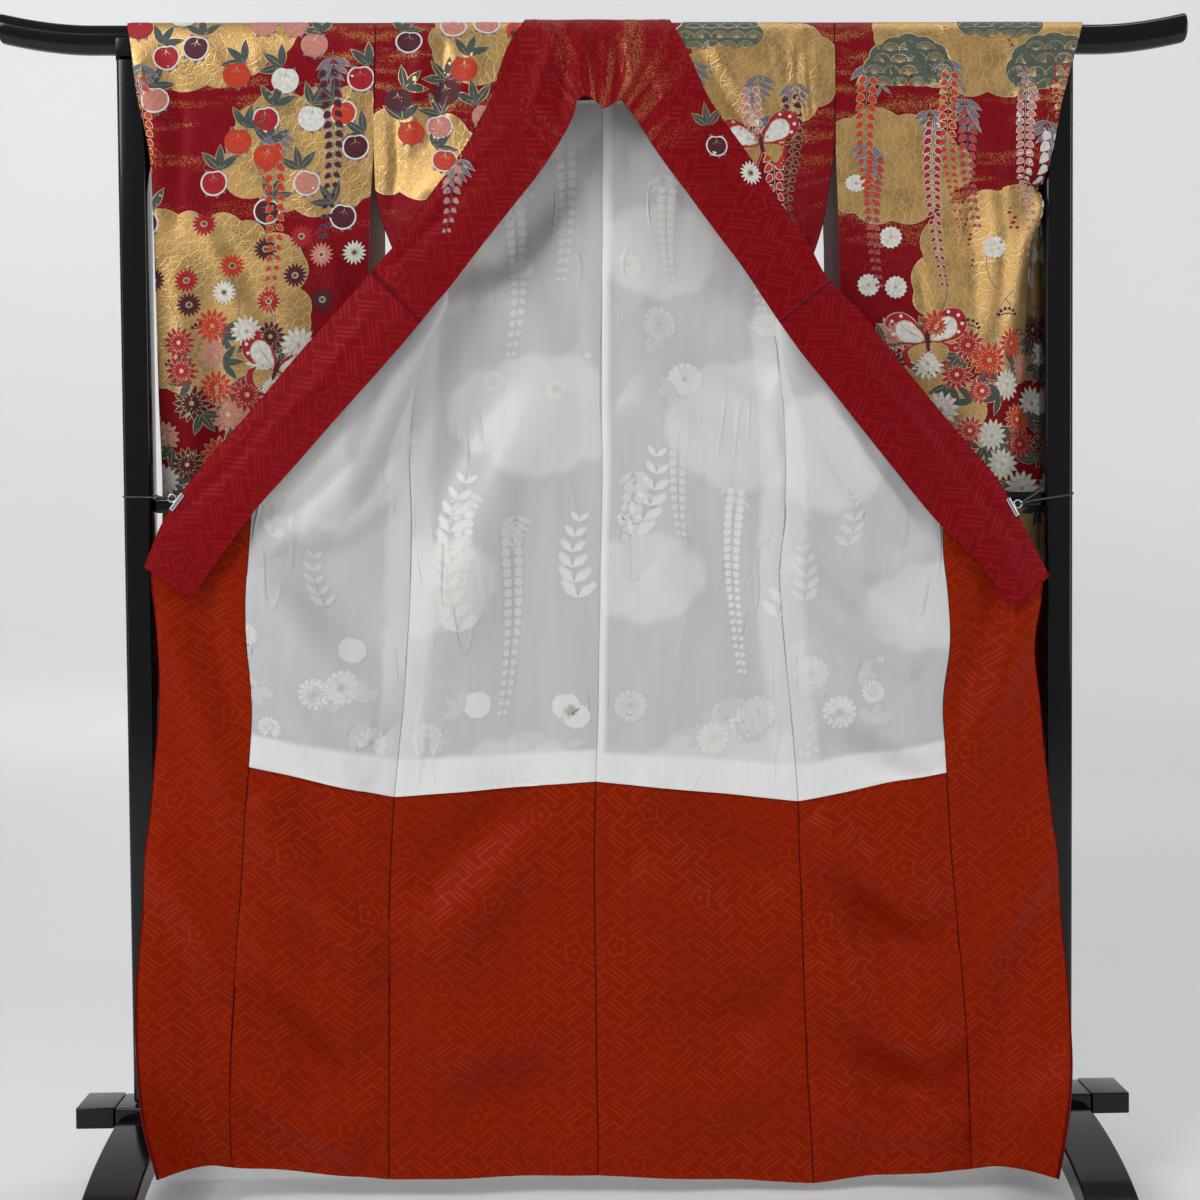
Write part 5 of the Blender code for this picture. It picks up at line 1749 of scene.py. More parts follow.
def wisteria(length, ink, rim="gold line", sway=0.06, full=5.2):
    """Hanging chain of paired petals that grow smaller towards its tip."""
    count = int(length / (full * 1.22))
    stem = arc((0, 0), (sway * length, length), 0.04, 14)
    shapes = [ribbon(rim, stem, 0.7, 0.3)]
    for i in range(count):
        share = (i + 0.5) / count
        x = np.interp(share * 13, np.arange(14), stem[:, 0])
        y = share * length
        size = full * (1.0 - 0.62 * share) * (0.82 + 0.18 * math.sin(min(1, share * 6) * 1.57))
        for way in (-1, 1):
            at_x = x + way * size * 0.30
            at_y = y + way * size * 0.10 - size * 0.45
            turn = way * (math.pi - 0.85)
            shapes.append(blade(rim, at_x, at_y, turn, size * 1.75, size * 1.30, 0.9, 1))
            at_x, at_y = (at_x, at_y) - turned((0, size * 0.13), turn)
            shapes.append(blade(ink, at_x, at_y, turn, size * 1.48, size * 1.02, 0.9, 2))
    return shapes


def wisteria_leaves(length, ink="lilac"):
    shapes = [ribbon("gold line", arc((0, 0), (length * 0.25, length * 0.75), 0.12), 0.6, 0.3)]
    stem = arc((0, 0), (length * 0.25, length * 0.75), 0.12, 6)
    for i, (x, y) in enumerate(stem[1:]):
        for way in (-1, 1):
            size = length * (0.52 - 0.05 * i)
            shapes += leafy(ink, x, y, math.pi - way * (1.0 - 0.1 * i), size, size * 0.26)
    return shapes


def scalloped(corners, bulge=0.34, steps=7):
    """Outline through the corners, each side bowed outwards as an arc."""
    corners = np.asarray(corners, dtype=float)
    following = np.roll(corners, -1, axis=0)
    area = np.sum(corners[:, 0] * following[:, 1] - following[:, 0] * corners[:, 1])
    way = 1 if area < 0 else -1
    outline = []
    for i, start in enumerate(corners):
        end = corners[(i + 1) % len(corners)]
        outline += list(arc(start, end, bulge * way / 1.6, steps)[:-1])
    return np.array(outline)


def pine(width, ink="pine"):
    """Cushion of needles: a scalloped dome filled with small fans of gold lines."""
    height = width * 0.46
    corners = [(math.cos(a) * width / 2, -math.sin(a) * height)
               for a in np.linspace(0, math.pi, 8)]
    corners += [(-width * 0.28, height * 0.22), (0, height * 0.10), (width * 0.28, height * 0.22)]
    outline = scalloped(corners, 0.30, 5)
    shapes = [("gold line", outline * 1.035, None, 0), (ink, outline, None, 1)]
    spots = [(x, y) for y in np.arange(-0.62, 0.3, 0.30) for x in np.arange(-0.8, 0.9, 0.40)]
    for i, (x, y) in enumerate(spots):
        x += 0.20 * (round((y + 0.62) / 0.30) % 2)
        if x ** 2 + (y * 1.05) ** 2 > 0.82:
            continue
        middle = np.array((x * width / 2, y * height))
        reach = width * 0.105
        rim = np.array([middle + turned((0, -reach), turn)
                        for turn in np.linspace(-1.5, 1.5, 9)])
        shapes.append(ribbon("gold line", rim, 0.7, 0.6, 2))
        for turn in np.linspace(-1.35, 1.35, 11):
            tip = middle + turned((0, -reach * 0.94), turn)
            shapes.append(ribbon("gold line", (middle, tip), 0.7, 0.5, 2))
    return shapes


def grass(length, bend, ink="lilac"):
    return [ribbon(ink, arc((0, 0), (length * 0.25, -length), bend, 14), 1.3, 0.4)]


def sprig(length, ink="lilac", rim="gold line", pairs=5):
    stem = arc((0, 0), (length * 0.15, -length), 0.10, pairs + 1)
    shapes = [ribbon(rim, stem, 0.7, 0.3)]
    for i, (x, y) in enumerate(stem[1:]):
        size = length * (0.30 - 0.03 * i)
        for way in (-1, 1):
            shapes.append(blade(rim, x, y, way * 0.8, size * 1.08, size * 0.42))
            shapes.append(blade(ink, x, y, way * 0.8, size, size * 0.34, level=1))
    return shapes


def bracken(width, ink="plum"):
    """Small arched frond of round lobes."""
    shapes = []
    for a in np.linspace(0.25, math.pi - 0.25, 6):
        x, y = math.cos(a) * width / 2, -math.sin(a) * width * 0.36
        shapes.append(dot("gold line", x, y, width * 0.12, width * 0.12, count=9))
        shapes.append(dot(ink, x, y, width * 0.09, width * 0.09, count=9, level=1))
    shapes.append(ribbon(ink, arc((-width / 2, 0), (width / 2, 0), -0.12), width * 0.05))
    return shapes


def butterfly(size, wing="gold", border="crimson", centre="white"):
    """Butterfly with its wings spread: two broad fore wings and two small hind wings."""
    shapes = []
    for way in (-1, 1):
        fore = [(0, 0), (0.25, -0.52), (0.62, -0.86), (1.0, -0.80), (1.12, -0.45), (0.98, -0.12),
                (0.55, 0.02)]
        hind = [(0, 0), (0.42, 0.05), (0.72, 0.22), (0.66, 0.55), (0.40, 0.80), (0.16, 0.52)]
        for outline, ink, base in ((hind, border, 0), (fore, border, 1)):
            corners = np.array(outline) * size * (way, 1)
            full = scalloped(corners, 0.16, 5)
            middle = full.mean(axis=0)
            shapes.append(("gold line", (full - middle) * 1.06 + middle, None, base))
            shapes.append((ink, full, None, base + 1))
            near = middle * 0.82
            inner = scalloped((corners - middle) * 0.66 + near, 0.16, 5)
            shapes.append(("gold line", (inner - near) * 1.08 + near, None, base + 2))
            shapes.append((centre if outline is fore else wing, inner, None, base + 3))
            for step in np.linspace(0.25, 0.8, 3):
                shapes.append(ribbon("gold line", (near * 0.2, near + (corners[3] - near) * step
                                                   * (0.5, 0.6)), 0.7, 0.4, base + 4))
        for spot in ((0.92, -0.66), (1.0, -0.42), (0.88, -0.20), (0.66, -0.78)):
            x, y = np.array(spot) * size * (way, 1)
            shapes.append(dot("white", x, y, size * 0.05, size * 0.05, count=9, level=3))
        shapes.append(ribbon("plum", arc((0, -0.25 * size), (way * 0.30 * size, -0.85 * size),
                                         way * 0.12), 0.8, 0.3, 5))
    shapes.append(dot("plum", 0, -0.02 * size, 0.06 * size, 0.30 * size, level=6))
    return shapes


FIGURES = {
    "fruit": fruit, "leaves": three_leaves, "daisy": daisy, "mum": chrysanthemum,
    "dianthus": dianthus, "wisteria": wisteria, "wisteria leaves": wisteria_leaves,
    "pine": pine, "grass": grass, "sprig": sprig, "bracken": bracken, "butterfly": butterfly,
}

# Clouds of leaf gold: centre s, t and half width and half height of each, in millimetres from
# the panel's own seam and from the shoulder fold
CLOUD_PLACES = {
    "sleeve_left_front": ((250, 20, 140, 84), (80, 196, 128, 84), (236, 396, 150, 124),
                          (60, 580, 124, 92), (262, 740, 96, 62), (110, 900, 120, 60)),
    "sleeve_right_front": ((214, 34, 156, 84), (64, 226, 116, 80), (246, 396, 140, 128),
                           (80, 590, 124, 88), (266, 740, 100, 60), (96, 900, 116, 62)),
    "front_left": ((170, 40, 96, 66), (52, 206, 96, 62), (176, 700, 90, 80), (60, 1240, 104, 92),
                   (190, 1470, 90, 70)),
    "front_right": ((104, 92, 112, 78), (60, 640, 92, 74), (190, 880, 80, 56),
                    (130, 1200, 126, 88), (50, 1450, 88, 66)),
    "back_left": ((90, 110, 106, 84), (236, 348, 98, 70), (90, 560, 112, 86), (240, 800, 96, 60),
                  (120, 1110, 150, 94), (220, 1470, 124, 86)),
    "back_right": ((220, 120, 106, 84), (70, 330, 92, 66), (206, 580, 112, 92), (60, 790, 84, 56),
                   (190, 1090, 150, 90), (100, 1460, 130, 84)),
    "okumi": ((50, 180, 96, 84), (110, 700, 88, 96), (60, 1010, 90, 60)),
}
PANEL_WIDTH = {"sleeve": 344, "front": 240, "back": 310, "okumi": 150}
# How far a cloud may run past the panel's edges, and how wide its scallops are
EDGE_OVERLAP = 8.0
SCALLOP = 46.0
# How unevenly a cloud's corners are spaced and reach out, and the least part of a scallop
CORNER_SHIFT = 0.16
CORNER_REACH = (0.88, 1.08)
LEAST_SCALLOP = 0.35


def cloud(s, t, wide, tall, width, chance):
    """Corners round an uneven oval, kept just past the panel's edges."""
    count = max(7, round(math.pi * (wide + tall) / SCALLOP))
    corners = []
    for k in range(count):
        angle = 2 * math.pi * (k + chance.uniform(-CORNER_SHIFT, CORNER_SHIFT)) / count
        reach = chance.uniform(*CORNER_REACH)
        across = min(max(s + wide * reach * math.cos(angle), -EDGE_OVERLAP),
                     width + EDGE_OVERLAP)
        corner = (across, t + tall * reach * math.sin(angle))
        if not corners or math.dist(corner, corners[-1]) > SCALLOP * LEAST_SCALLOP:
            corners.append(corner)
    return corners


# Beds of figures: kind, top and bottom, how far apart they stand, how many at most
BEDS = {
    "sleeve_left_front": (
        ("wisteria", 60, 190, 60, 3), ("fruit", -4, 300, 40, 22), ("daisy", 290, 440, 32, 15),
        ("grass", 380, 520, 50, 5), ("butterfly", 450, 520, 50, 1), ("bracken", 430, 500, 34, 4),
        ("mum", 430, 700, 33, 44), ("pine", 730, 780, 90, 1), ("mum", 740, 1010, 56, 12)),
    "sleeve_right_front": (
        ("pine", 20, 110, 100, 3), ("wisteria", 60, 250, 44, 8), ("dianthus", 240, 400, 30, 8),
        ("grass", 390, 530, 44, 6), ("butterfly", 450, 520, 50, 1), ("bracken", 430, 500, 34, 4),
        ("mum", 450, 700, 33, 42), ("pine", 730, 780, 90, 1), ("mum", 740, 1010, 56, 12)),
    "sleeve_left_back": (("wisteria", 60, 240, 60, 4), ("fruit", 10, 320, 56, 9),
                         ("mum", 400, 1010, 62, 20)),
    "sleeve_right_back": (("pine", 30, 110, 110, 2), ("wisteria", 70, 240, 60, 4),
                          ("dianthus", 260, 400, 40, 6), ("mum", 420, 1010, 62, 20)),
    "front_left": (("fruit", 10, 230, 38, 14), ("sprig", 780, 900, 60, 2)),
    "front_right": (("pine", 40, 90, 100, 1), ("wisteria", 60, 230, 44, 5),
                    ("butterfly", 60, 200, 60, 1), ("sprig", 780, 900, 60, 2)),
    "back_left": (("wisteria", 120, 260, 60, 3), ("daisy", 300, 620, 50, 8),
                  ("wisteria", 640, 720, 70, 2), ("white sprig", 740, 900, 60, 4),
                  ("white grass", 860, 980, 70, 3)),
    "back_right": (("wisteria", 120, 260, 60, 3), ("mum", 340, 560, 70, 4),
                   ("wisteria", 560, 700, 60, 4), ("white sprig", 740, 900, 70, 2),
                   ("white grass", 760, 960, 70, 2)),
}
BLOOM_INKS = ("white", "pink", "coral", "plum", "crimson")
RIM_INKS = ("gold line", "lilac", "white")
SCATTER_INKS = ("crimson", "white", "plum", "coral", "pink")
# Figures that are always of one size, with their own values
ONE_SIZE = {"dianthus": (16,), "bracken": (28,), "sprig": (90, "lilac")}
# Kinds that the beds after theirs keep away from
BLOOMS = ("fruit", "daisy", "mum", "dianthus")


def grown(kind, s, t, chance):
    """Rows of one plant, its leaves first: kind, s, t, turn, then the figure's own values."""
    ink = BLOOM_INKS[chance.integers(0, len(BLOOM_INKS))]
    turn = chance.uniform(-16, 16)
    rim_ink = RIM_INKS[chance.integers(0, len(RIM_INKS))]
    if kind == "fruit":
        rim = ink if chance.uniform() < 0.5 else "white"
        return [("leaves", s + chance.uniform(-16, 16), t - 18, chance.uniform(-50, 50), 38),
                ("fruit", s, t, turn, 19, ink, rim)]
    if kind == "wisteria":
        return [("wisteria leaves", s - 6, t - 24, turn, 56),
                ("wisteria", s, t, 0, chance.uniform(120, 270), ink, rim_ink,
                 chance.uniform(0.0, 0.06), chance.uniform(7.0, 9.0))]
    if kind == "mum":
        return [("leaves", s - 12, t + 14, chance.uniform(0, 360), 36),
                ("mum", s, t, turn, chance.uniform(22, 28), ink,
                 "white" if chance.uniform() < 0.25 and ink != "white" else "gold line")]
    if kind == "pine":
        return [("pine", s, t, 0, chance.uniform(112, 140))]
    if kind == "butterfly":
        return [("butterfly", s, t, turn * 1.6, 50)]
    if kind == "grass":
        return [("grass", s, t, turn * 2, chance.uniform(100, 160), chance.uniform(-0.3, 0.3))]
    if kind == "white grass":
        return [("grass", s, t, turn * 3, 150, chance.uniform(-0.3, 0.3), "white")]
    if kind == "white sprig":
        return [("sprig", s, t, turn, chance.uniform(110, 150), "white", "white", 6)]
    return [(kind, s, t, turn, *ONE_SIZE.get(kind, (17, ink)))]


def bedded(width, beds, seed):
    """Figures of each bed spread by chance over its stretch, none too near another."""
    chance = np.random.default_rng(seed)
    taken, rows = [], []
    for kind, top, bottom, apart, count in beds:
        standing = []
        for _ in range(count * 40):
            s, t = chance.uniform(14, width - 14), chance.uniform(top, bottom)
            if len(standing) < count and all(math.dist((s, t), other) >= apart
                                             for other in standing + taken):
                standing.append((s, t))
                rows += grown(kind, s, t, chance)
        if kind in BLOOMS:
            taken += standing
    return tuple(rows)


# Figures that run on over the collar: x and z in millimetres, kind, then its own values
COLLAR_FIGURES = (
    (-196, 1440, ("wisteria leaves", 50)),
    (-206, 1420, ("wisteria", 96, "pink", "lilac", 0.06, 8.0)),
    (150, 1470, ("leaves", 34)),
    (158, 1446, ("fruit", 16, "plum", "white")),
    (206, 1404, ("daisy", 16, "white")),
)


def scattered(panel_width, top, bottom, seed):
    """Flowers, pines and hanging chains in clusters down a panel, evenly but not regularly."""
    chance = np.random.default_rng(seed)
    rows = []
    t = top + 40
    while t < bottom - 60:
        s = chance.uniform(0.25, 0.75) * panel_width
        kind = chance.integers(0, 4)
        if kind == 0:
            rows.append(("pine", s, t, 0, 120))
            for step in (-26, 8, 36):
                rows.append(("wisteria", s + step, t + 16, 0, chance.uniform(120, 200),
                             SCATTER_INKS[chance.integers(0, 4)], "gold line", 0.03, 8))
        elif kind == 1:
            rows.append(("butterfly", s, t, chance.uniform(-30, 30), 48))
        for _ in range(7):
            away = chance.uniform(-0.45, 0.45) * panel_width
            rows.append(("leaves", s + away, t + chance.uniform(-50, 60), chance.uniform(0, 360),
                         38))
            name = ("mum", "mum", "daisy", "fruit")[chance.integers(0, 4)]
            size = {"mum": 27, "daisy": 18, "fruit": 19}[name]
            rows.append((name, s + away + 16, t + chance.uniform(-70, 80),
                         chance.uniform(-20, 20), size, SCATTER_INKS[chance.integers(0, 5)]))
        t += chance.uniform(125, 175)
    return tuple(rows)


def print_layout():
    """Outlines of the clouds and rows of the figures of each printed panel."""
    clouds, figures = {}, {}
    for side, seed in (("left", 11), ("right", 23)):
        for pattern in ("sleeve_%s_front", "sleeve_%s_back", "front_%s", "back_%s", "okumi_%s"):
            name = pattern % side
            part = name.split("_")[0]
            places = CLOUD_PLACES[{"sleeve": "sleeve_%s_front" % side,
                                   "okumi": "okumi"}.get(part, name)]
            chance = np.random.default_rng(seed)
            clouds[name] = [scalloped(cloud(*place, PANEL_WIDTH[part], chance))
                            for place in places]
            figures[name] = bedded(PANEL_WIDTH[part], BEDS.get(name, ()), seed + 100)
        figures["okumi_" + side] = scattered(150, 60, 1080, seed)
        figures["back_" + side] += scattered(300, 960, 1600, seed + 1)
        figures["front_" + side] += scattered(230, 960, 1590, seed + 2)
    return clouds, figures


CLOUDS, FIGURE_ROWS = print_layout()

# How far the print's lowest figures lie off the cloth, and each level above them
INK_LIFT = 0.32 * MM
LEVEL_LIFT = 0.11 * MM
# Longest side of a larger outline's rim, and the size from which an outline is a larger one
EDGE_STEP = 5.0
LARGE = 9.0
# Smallest doubled area of a face that is kept, in square metres
LEAST_FACE = 2e-8
CLOUD_RIM = 1.6
# Distance down a front panel below which its printed face is turned away from the viewer
HIDDEN_BELOW = 330
# How much larger or smaller some kinds are than their rows say
WISTERIA_FULLER = 1.25
FRUIT_SMALLER = 0.86


def filled(outline, panel):
    """Triangles of a larger outline, with the cloth's own points inside it."""
    low, high = outline.min(axis=0) - 1, outline.max(axis=0) + 1
    dense = []
    for start, end in zip(outline, np.roll(outline, -1, axis=0)):
        steps = max(1, math.ceil(np.linalg.norm(end - start) / EDGE_STEP))
        dense += [start + (end - start) * k / steps for k in range(steps)]
    dense = np.array(dense)
    rows = slice(*np.searchsorted(panel.down / MM, (low[1], high[1])))
    across = panel.across[rows] / MM
    down = np.broadcast_to(panel.down[rows][:, None] / MM, across.shape)
    inner = np.stack([across.ravel(), down.ravel()], axis=-1)
    inner = inner[((inner > low) & (inner < high)).all(axis=1)]
    if len(inner):
        inner = inner[edge_distance(inner, dense) > 0.8]
    points = [Vector(p) for p in np.concatenate([dense, inner])]
    count = len(dense)
    edges = [(i, (i + 1) % count) for i in range(count)]
    result = delaunay_2d_cdt(points, edges, [list(range(count))], 1, 1e-5)
    return np.array([tuple(p) for p in result[0]]), [tuple(face) for face in result[2]]


def edge_distance(points, outline):
    """Distance from points to an outline, positive inside it."""
    start = outline
    way = np.roll(outline, -1, axis=0) - start
    from_start = points[:, None] - start[None]
    length = np.maximum((way ** 2).sum(axis=1), 1e-9)
    share = np.clip((from_start * way).sum(axis=2) / length, 0, 1)
    gap = np.linalg.norm(from_start - share[..., None] * way, axis=2).min(axis=1)
    crosses = (start[None, :, 1] > points[:, 1:2]) != (start[None, :, 1] + way[None, :, 1]
                                                       > points[:, 1:2])
    rise = np.where(np.abs(way[:, 1]) < 1e-9, 1e-9, way[:, 1])
    at = start[:, 0] + (points[:, 1:2] - start[:, 1]) * way[:, 0] / rise
    inside = (crosses & (points[:, 0:1] < at)).sum(axis=1) % 2 == 1
    return np.where(inside, gap, -gap)


def figure_shapes(row):
    kind, s, t, turn, *rest = row
    if kind == "wisteria":
        rest[-1] *= WISTERIA_FULLER
    if kind in ("fruit", "leaves"):
        rest[0] *= FRUIT_SMALLER
    return [(ink, turned(outline, math.radians(turn)) + (s, t), faces, level)
            for ink, outline, faces, level in FIGURES[kind](*rest)]


def widened(outline, rim):
    return outline + unit(outline - outline.mean(axis=0)) * rim


def simpler(shapes):
    """Shapes for the sides away from the viewer: no finest lines and fewer corners."""
    kept = []
    for ink, outline, faces, level in shapes:
        if faces is None:
            step = 2 if 8 <= len(outline) <= 40 else 1
            kept.append((ink, outline[::step], None, level))
        elif level < 2:
            kept.append((ink, outline, faces, level))
    return kept


class Print:
    """Shapes of one panel's print, gathered into a single mesh that follows the cloth."""

    def __init__(self, panel, behind=False):
        self.panel = panel
        self.behind = behind
        self.points, self.lifts, self.faces, self.inks = [], [], [], []
        self.values = []
        self.count = 0

    def add(self, ink, points, faces, lift, value=0.0):
        width = self.panel.across[:, -1].max() / MM
        length = self.panel.down[-1] / MM
        low, high = points.min(axis=0), points.max(axis=0)
        if high[0] < 0 or low[0] > width or high[1] < 0 or low[1] > length:
            return
        if faces is None and (high - low).max() > LARGE:
            points, faces = filled(points, self.panel)
        elif faces is None:
            faces = [tuple(range(len(points)))]
        self.points.append(points)
        self.lifts.append(np.full(len(points), lift))
        self.values.append(np.broadcast_to(value, (len(points),)))
        for face in faces:
            self.faces.append(tuple(self.count + i for i in face))
            self.inks.append(ink)
        self.count += len(points)

    def figure(self, shapes, lift):
        for ink, points, faces, level in shapes:
            self.add(ink, points, faces, lift + level * LEVEL_LIFT)

    def piece(self, name, inks, slot="printed_silk"):
        """Lay the gathered shapes on the cloth as one mesh, without its slivers."""
        flat = np.concatenate(self.points) * MM
        places = self.panel.place(flat[:, 0], flat[:, 1], np.concatenate(self.lifts))
        used = sorted(set(self.inks))
        kept, chosen = [], []
        for face, ink in zip(self.faces, self.inks):
            corner = places[list(face)]
            spread_out = np.linalg.norm(np.cross(corner[1:-1] - corner[0],
                                                 corner[2:] - corner[0]), axis=1).sum()
            if spread_out > LEAST_FACE:
                kept.append(face if (self.panel.turn < 0) != self.behind else face[::-1])
                chosen.append(used.index(ink))
        numbers = sorted({i for face in kept for i in face})
        place_of = {number: i for i, number in enumerate(numbers)}
        mesh = bpy.data.meshes.new(name)
        mesh.from_pydata(places[numbers], [], [tuple(place_of[i] for i in f) for f in kept])
        mesh.polygons.foreach_set("material_index", chosen)
        lay_coordinates(mesh, flat[numbers])
        if self.behind:
            store_mark(mesh, "through", np.concatenate(self.values)[numbers])
            store_mark(mesh, "doubled", doubled_marks(name, self.panel, flat[numbers]))
        for ink in used:
            mesh.materials.append(inks[ink])
        mesh.shade_smooth()
        mesh.update()
        return add_piece(name, mesh, None)


def collar_rows(panel):
    """Rows of the collar's figures, turned the way its cloth runs."""
    for x, z, (kind, *values) in COLLAR_FIGURES:
        s, t, lean = panel.nearest(x * MM, z * MM)
        yield (kind, s / MM, t / MM, math.degrees(lean), *values)


def lay_prints(name, panel, inks):
    """Print a panel's clouds and figures."""
    work = Print(panel)
    if name == "collar":
        for row in collar_rows(panel):
            work.figure(figure_shapes(row), INK_LIFT)
    else:
        for outline in CLOUDS[name]:
            work.add("gold line", widened(outline, CLOUD_RIM), None, INK_LIFT * 0.5)
            work.add("gold", outline, None, INK_LIFT)
        away = name.startswith(("back", "okumi")) or name.endswith("back")
        for order, row in enumerate(FIGURE_ROWS[name]):
            shapes = figure_shapes(row)
            if away or name.startswith("front") and row[2] > HIDDEN_BELOW:
                shapes = simpler(shapes)
            work.figure(shapes, INK_LIFT * 1.7 + 0.5 * LEVEL_LIFT * (order % 3))
    work.piece("furisode_print_" + name, inks)


# Soft rim of a figure seen through the sheer lining, and how strongly each ink shows
RIM = 1.8
SHOWS = {"gold": 0.52, "gold line": 0.5, "white": 0.80, "warm grey": 0.6, "pink": 0.7,
         "coral": 0.45, "crimson": 0.1, "plum": 0.0, "pine": 0.30, "leaf": 0.25, "lilac": 0.45}


def cloud_marks(name, points):
    """How much of the gold clouds shows through the lining at cut coordinates."""
    seen = np.zeros(len(points))
    for outline in CLOUDS[name]:
        low, high = outline.min(axis=0) - 6, outline.max(axis=0) + 6
        near = np.nonzero(((points > low) & (points < high)).all(axis=1))[0]
        if len(near):
            cover = np.clip(edge_distance(points[near], outline) / 9 + 0.5, 0, 1)
            seen[near] = np.maximum(seen[near], SHOWS["gold"] * cover)
    return seen


def lay_ghosts(name, panel, material):
    """Figures of the outer cloth as they show through the lining, with soft rims."""
    last = (panel.down[panel.row_at[LINING_EDGE]] - LINING_HEM) / MM
    width = panel.across[:, -1].max() / MM
    work = Print(panel, True)
    for order, row in enumerate(FIGURE_ROWS[name]):
        lift = -(LINING_DEPTH + LINING_CLOTH + (0.12 + 0.05 * (order % 4)) * MM)
        for ink, outline, faces, level in simpler(figure_shapes(row)):
            if level > 1 or SHOWS[ink] < 0.2 or outline[:, 1].max() > last:
                continue
            if outline[:, 0].min() < 3 or outline[:, 0].max() > width - 3:
                continue
            lift_here = lift - level * 0.06 * MM
            if faces is not None:
                work.add("silk", outline, faces, lift_here, SHOWS[ink] * 0.7)
                continue
            work.add("silk", outline, None, lift_here, SHOWS[ink])
            rim = widened(outline, RIM)
            count = len(outline)
            ring = [(i, (i + 1) % count, count + (i + 1) % count, count + i)
                    for i in range(count)]
            under = cloud_marks(name, rim)
            work.add("silk", np.concatenate([outline, rim]), ring, lift_here,
                     np.concatenate([np.full(count, SHOWS[ink]), under]))
    if work.count:
        work.piece("furisode_seen_through_" + name, {"silk": material}, "white_silk")


# Gold dust: how it thins out from the shoulder, and a band of it across the right sleeve
DUST_FADE = 0.36
DUST_BAND = (0.27, 0.07)

# How much the lining's own cloth under it whitens it: beside the side seams, along the centre
# seam, over the lower edge, and on the sleeve's lining, which is also seen against print
DOUBLED_SIDE = 0.38
DOUBLED_CENTRE = 0.75
DOUBLED_HEM = 0.8
SLEEVE_LINING_DOUBLED = 0.3
SLEEVE_LINING_THROUGH = 0.2


def dust_marks(name, panel):
    """How thickly gold dust lies over each point of a panel."""
    down = panel.down[:, None]
    fade = np.clip(1.35 - down / DUST_FADE, 0, 1)
    if name == "sleeve_right_front":
        middle, half = DUST_BAND
        fade = np.maximum(fade, np.clip(1.6 - np.abs(down - middle) / half, 0, 1.1))
    return np.broadcast_to(fade, panel.across.shape).copy()


def lining_marks(name, panel, rows):
    """Marks of the sheer lining: print seen through it, and where its cloth is doubled."""
    across, down = panel.across[rows], panel.down[rows][:, None]
    flat = np.stack([across, np.broadcast_to(down, across.shape)], axis=-1).reshape(-1, 2)
    return {"through": cloud_marks(name, flat / MM).reshape(across.shape),
            "doubled": doubled_marks(name, panel, flat).reshape(across.shape)}


def doubled_marks(name, panel, flat):
    """Where the lining is doubled: beside its seams and above its lower edge."""
    s, t = flat[:, 0], flat[:, 1]
    width = np.interp(t, panel.down, panel.across[:, -1])
    side_gap = s if "front" in name else width - s
    doubled = np.clip((ALLOWANCE_SIDE - side_gap) / 0.004, 0, 1) * DOUBLED_SIDE
    if "back_right" in name:
        centre = np.clip((ALLOWANCE_CENTRE - s) / 0.002, 0, 1) * DOUBLED_CENTRE
        doubled = np.maximum(doubled, centre)
    edge = panel.down[panel.row_at[LINING_EDGE]]
    hem = np.clip((t - edge + LINING_HEM) / 0.003, 0, 1) * DOUBLED_HEM
    return np.maximum(doubled, hem)


def collar_marks(panel, rows, seams):
    """Gold dust on the collar cover, thinning out along both bands, and painted shade along its
    seams.
    """
    middle = panel.points[rows][..., 0]
    dust = np.clip(1.15 - np.abs(middle - 0.02) / 0.16, 0, 1)
    down = np.broadcast_to(panel.down[rows][:, None], dust.shape)
    # Painted shade along the seams where the collar's parts join
    seam = np.zeros(dust.shape)
    for end in seams:
        away = down - down[0] if end == "top" else down[-1] - down
        seam = np.maximum(seam, np.clip(1 - away / SEAM_SHADE, 0, 1) * 0.55)
    return {"dust": dust, "seam": seam}


def make_inks(settings):
    """Material of each ink and of the leaf gold."""
    inks = {"gold": gold_foil(opaque(settings.gold), (0.66, 0.46, 0.22, 1), 88.0)}
    inks["gold line"] = silk_ink("gold line", opaque(settings.gold_line),
                                 shade(settings.gold_line, 0.8), 0.35, 0.6)
    for name in ("white", "coral", "crimson", "plum", "pink", "pine", "leaf", "lilac"):
        colour = getattr(settings, name)
        inks[name] = silk_ink(name + " ink", opaque(colour), shade(colour, 0.78))
    inks["warm grey"] = silk_ink("warm grey ink", (0.42, 0.36, 0.28, 1), (0.34, 0.29, 0.22, 1))
    return inks


# Settings

def colour_setting(name, description, value):
    return bpy.props.FloatVectorProperty(name=name, description=description, size=3,
                                         subtype="COLOR", min=0, max=1, default=value)


def light_setting(name, description, value):
    return bpy.props.FloatProperty(name=name, description=description, default=value, min=0,
                                   unit="POWER")


def opaque(colour):
    return (*colour, 1.0)


class FurisodeCloth(bpy.types.PropertyGroup):
    cell: bpy.props.FloatProperty(
        name="Cloth cell", description="Distance between points of the cloth surfaces",
        default=0.0075, min=0.003, max=0.03, unit="LENGTH")
    red: colour_setting("Printed silk", "Red ground of the outer cloth", (0.215, 0.006, 0.011))
    # Each damask figure colour is a lighter copy of its ground: painted sheen of the raised
    # threads
    collar: colour_setting("Collar", "Duller ground of the collar's damask",
                           (0.20, 0.0035, 0.006))
    collar_lit: colour_setting("Collar figure", "Glossy threads of the collar's damask",
                               (0.28, 0.008, 0.012))
    vermilion: colour_setting("Lower lining", "Ground of the lower lining",
                              (0.26, 0.013, 0.0012))
    vermilion_lit: colour_setting("Lower lining figure",
                                  "Glossy threads of the lower lining", (0.34, 0.024, 0.003))
    white: colour_setting("White lining", "White silk where it is doubled",
                          (0.92, 0.93, 0.90))
    veiled: colour_setting("Veiled lining", "White silk over dark cloth",
                           (0.585, 0.58, 0.58))
    warm: colour_setting("Lining over gold", "White silk over gold or white figures",
                         (0.86, 0.85, 0.79))


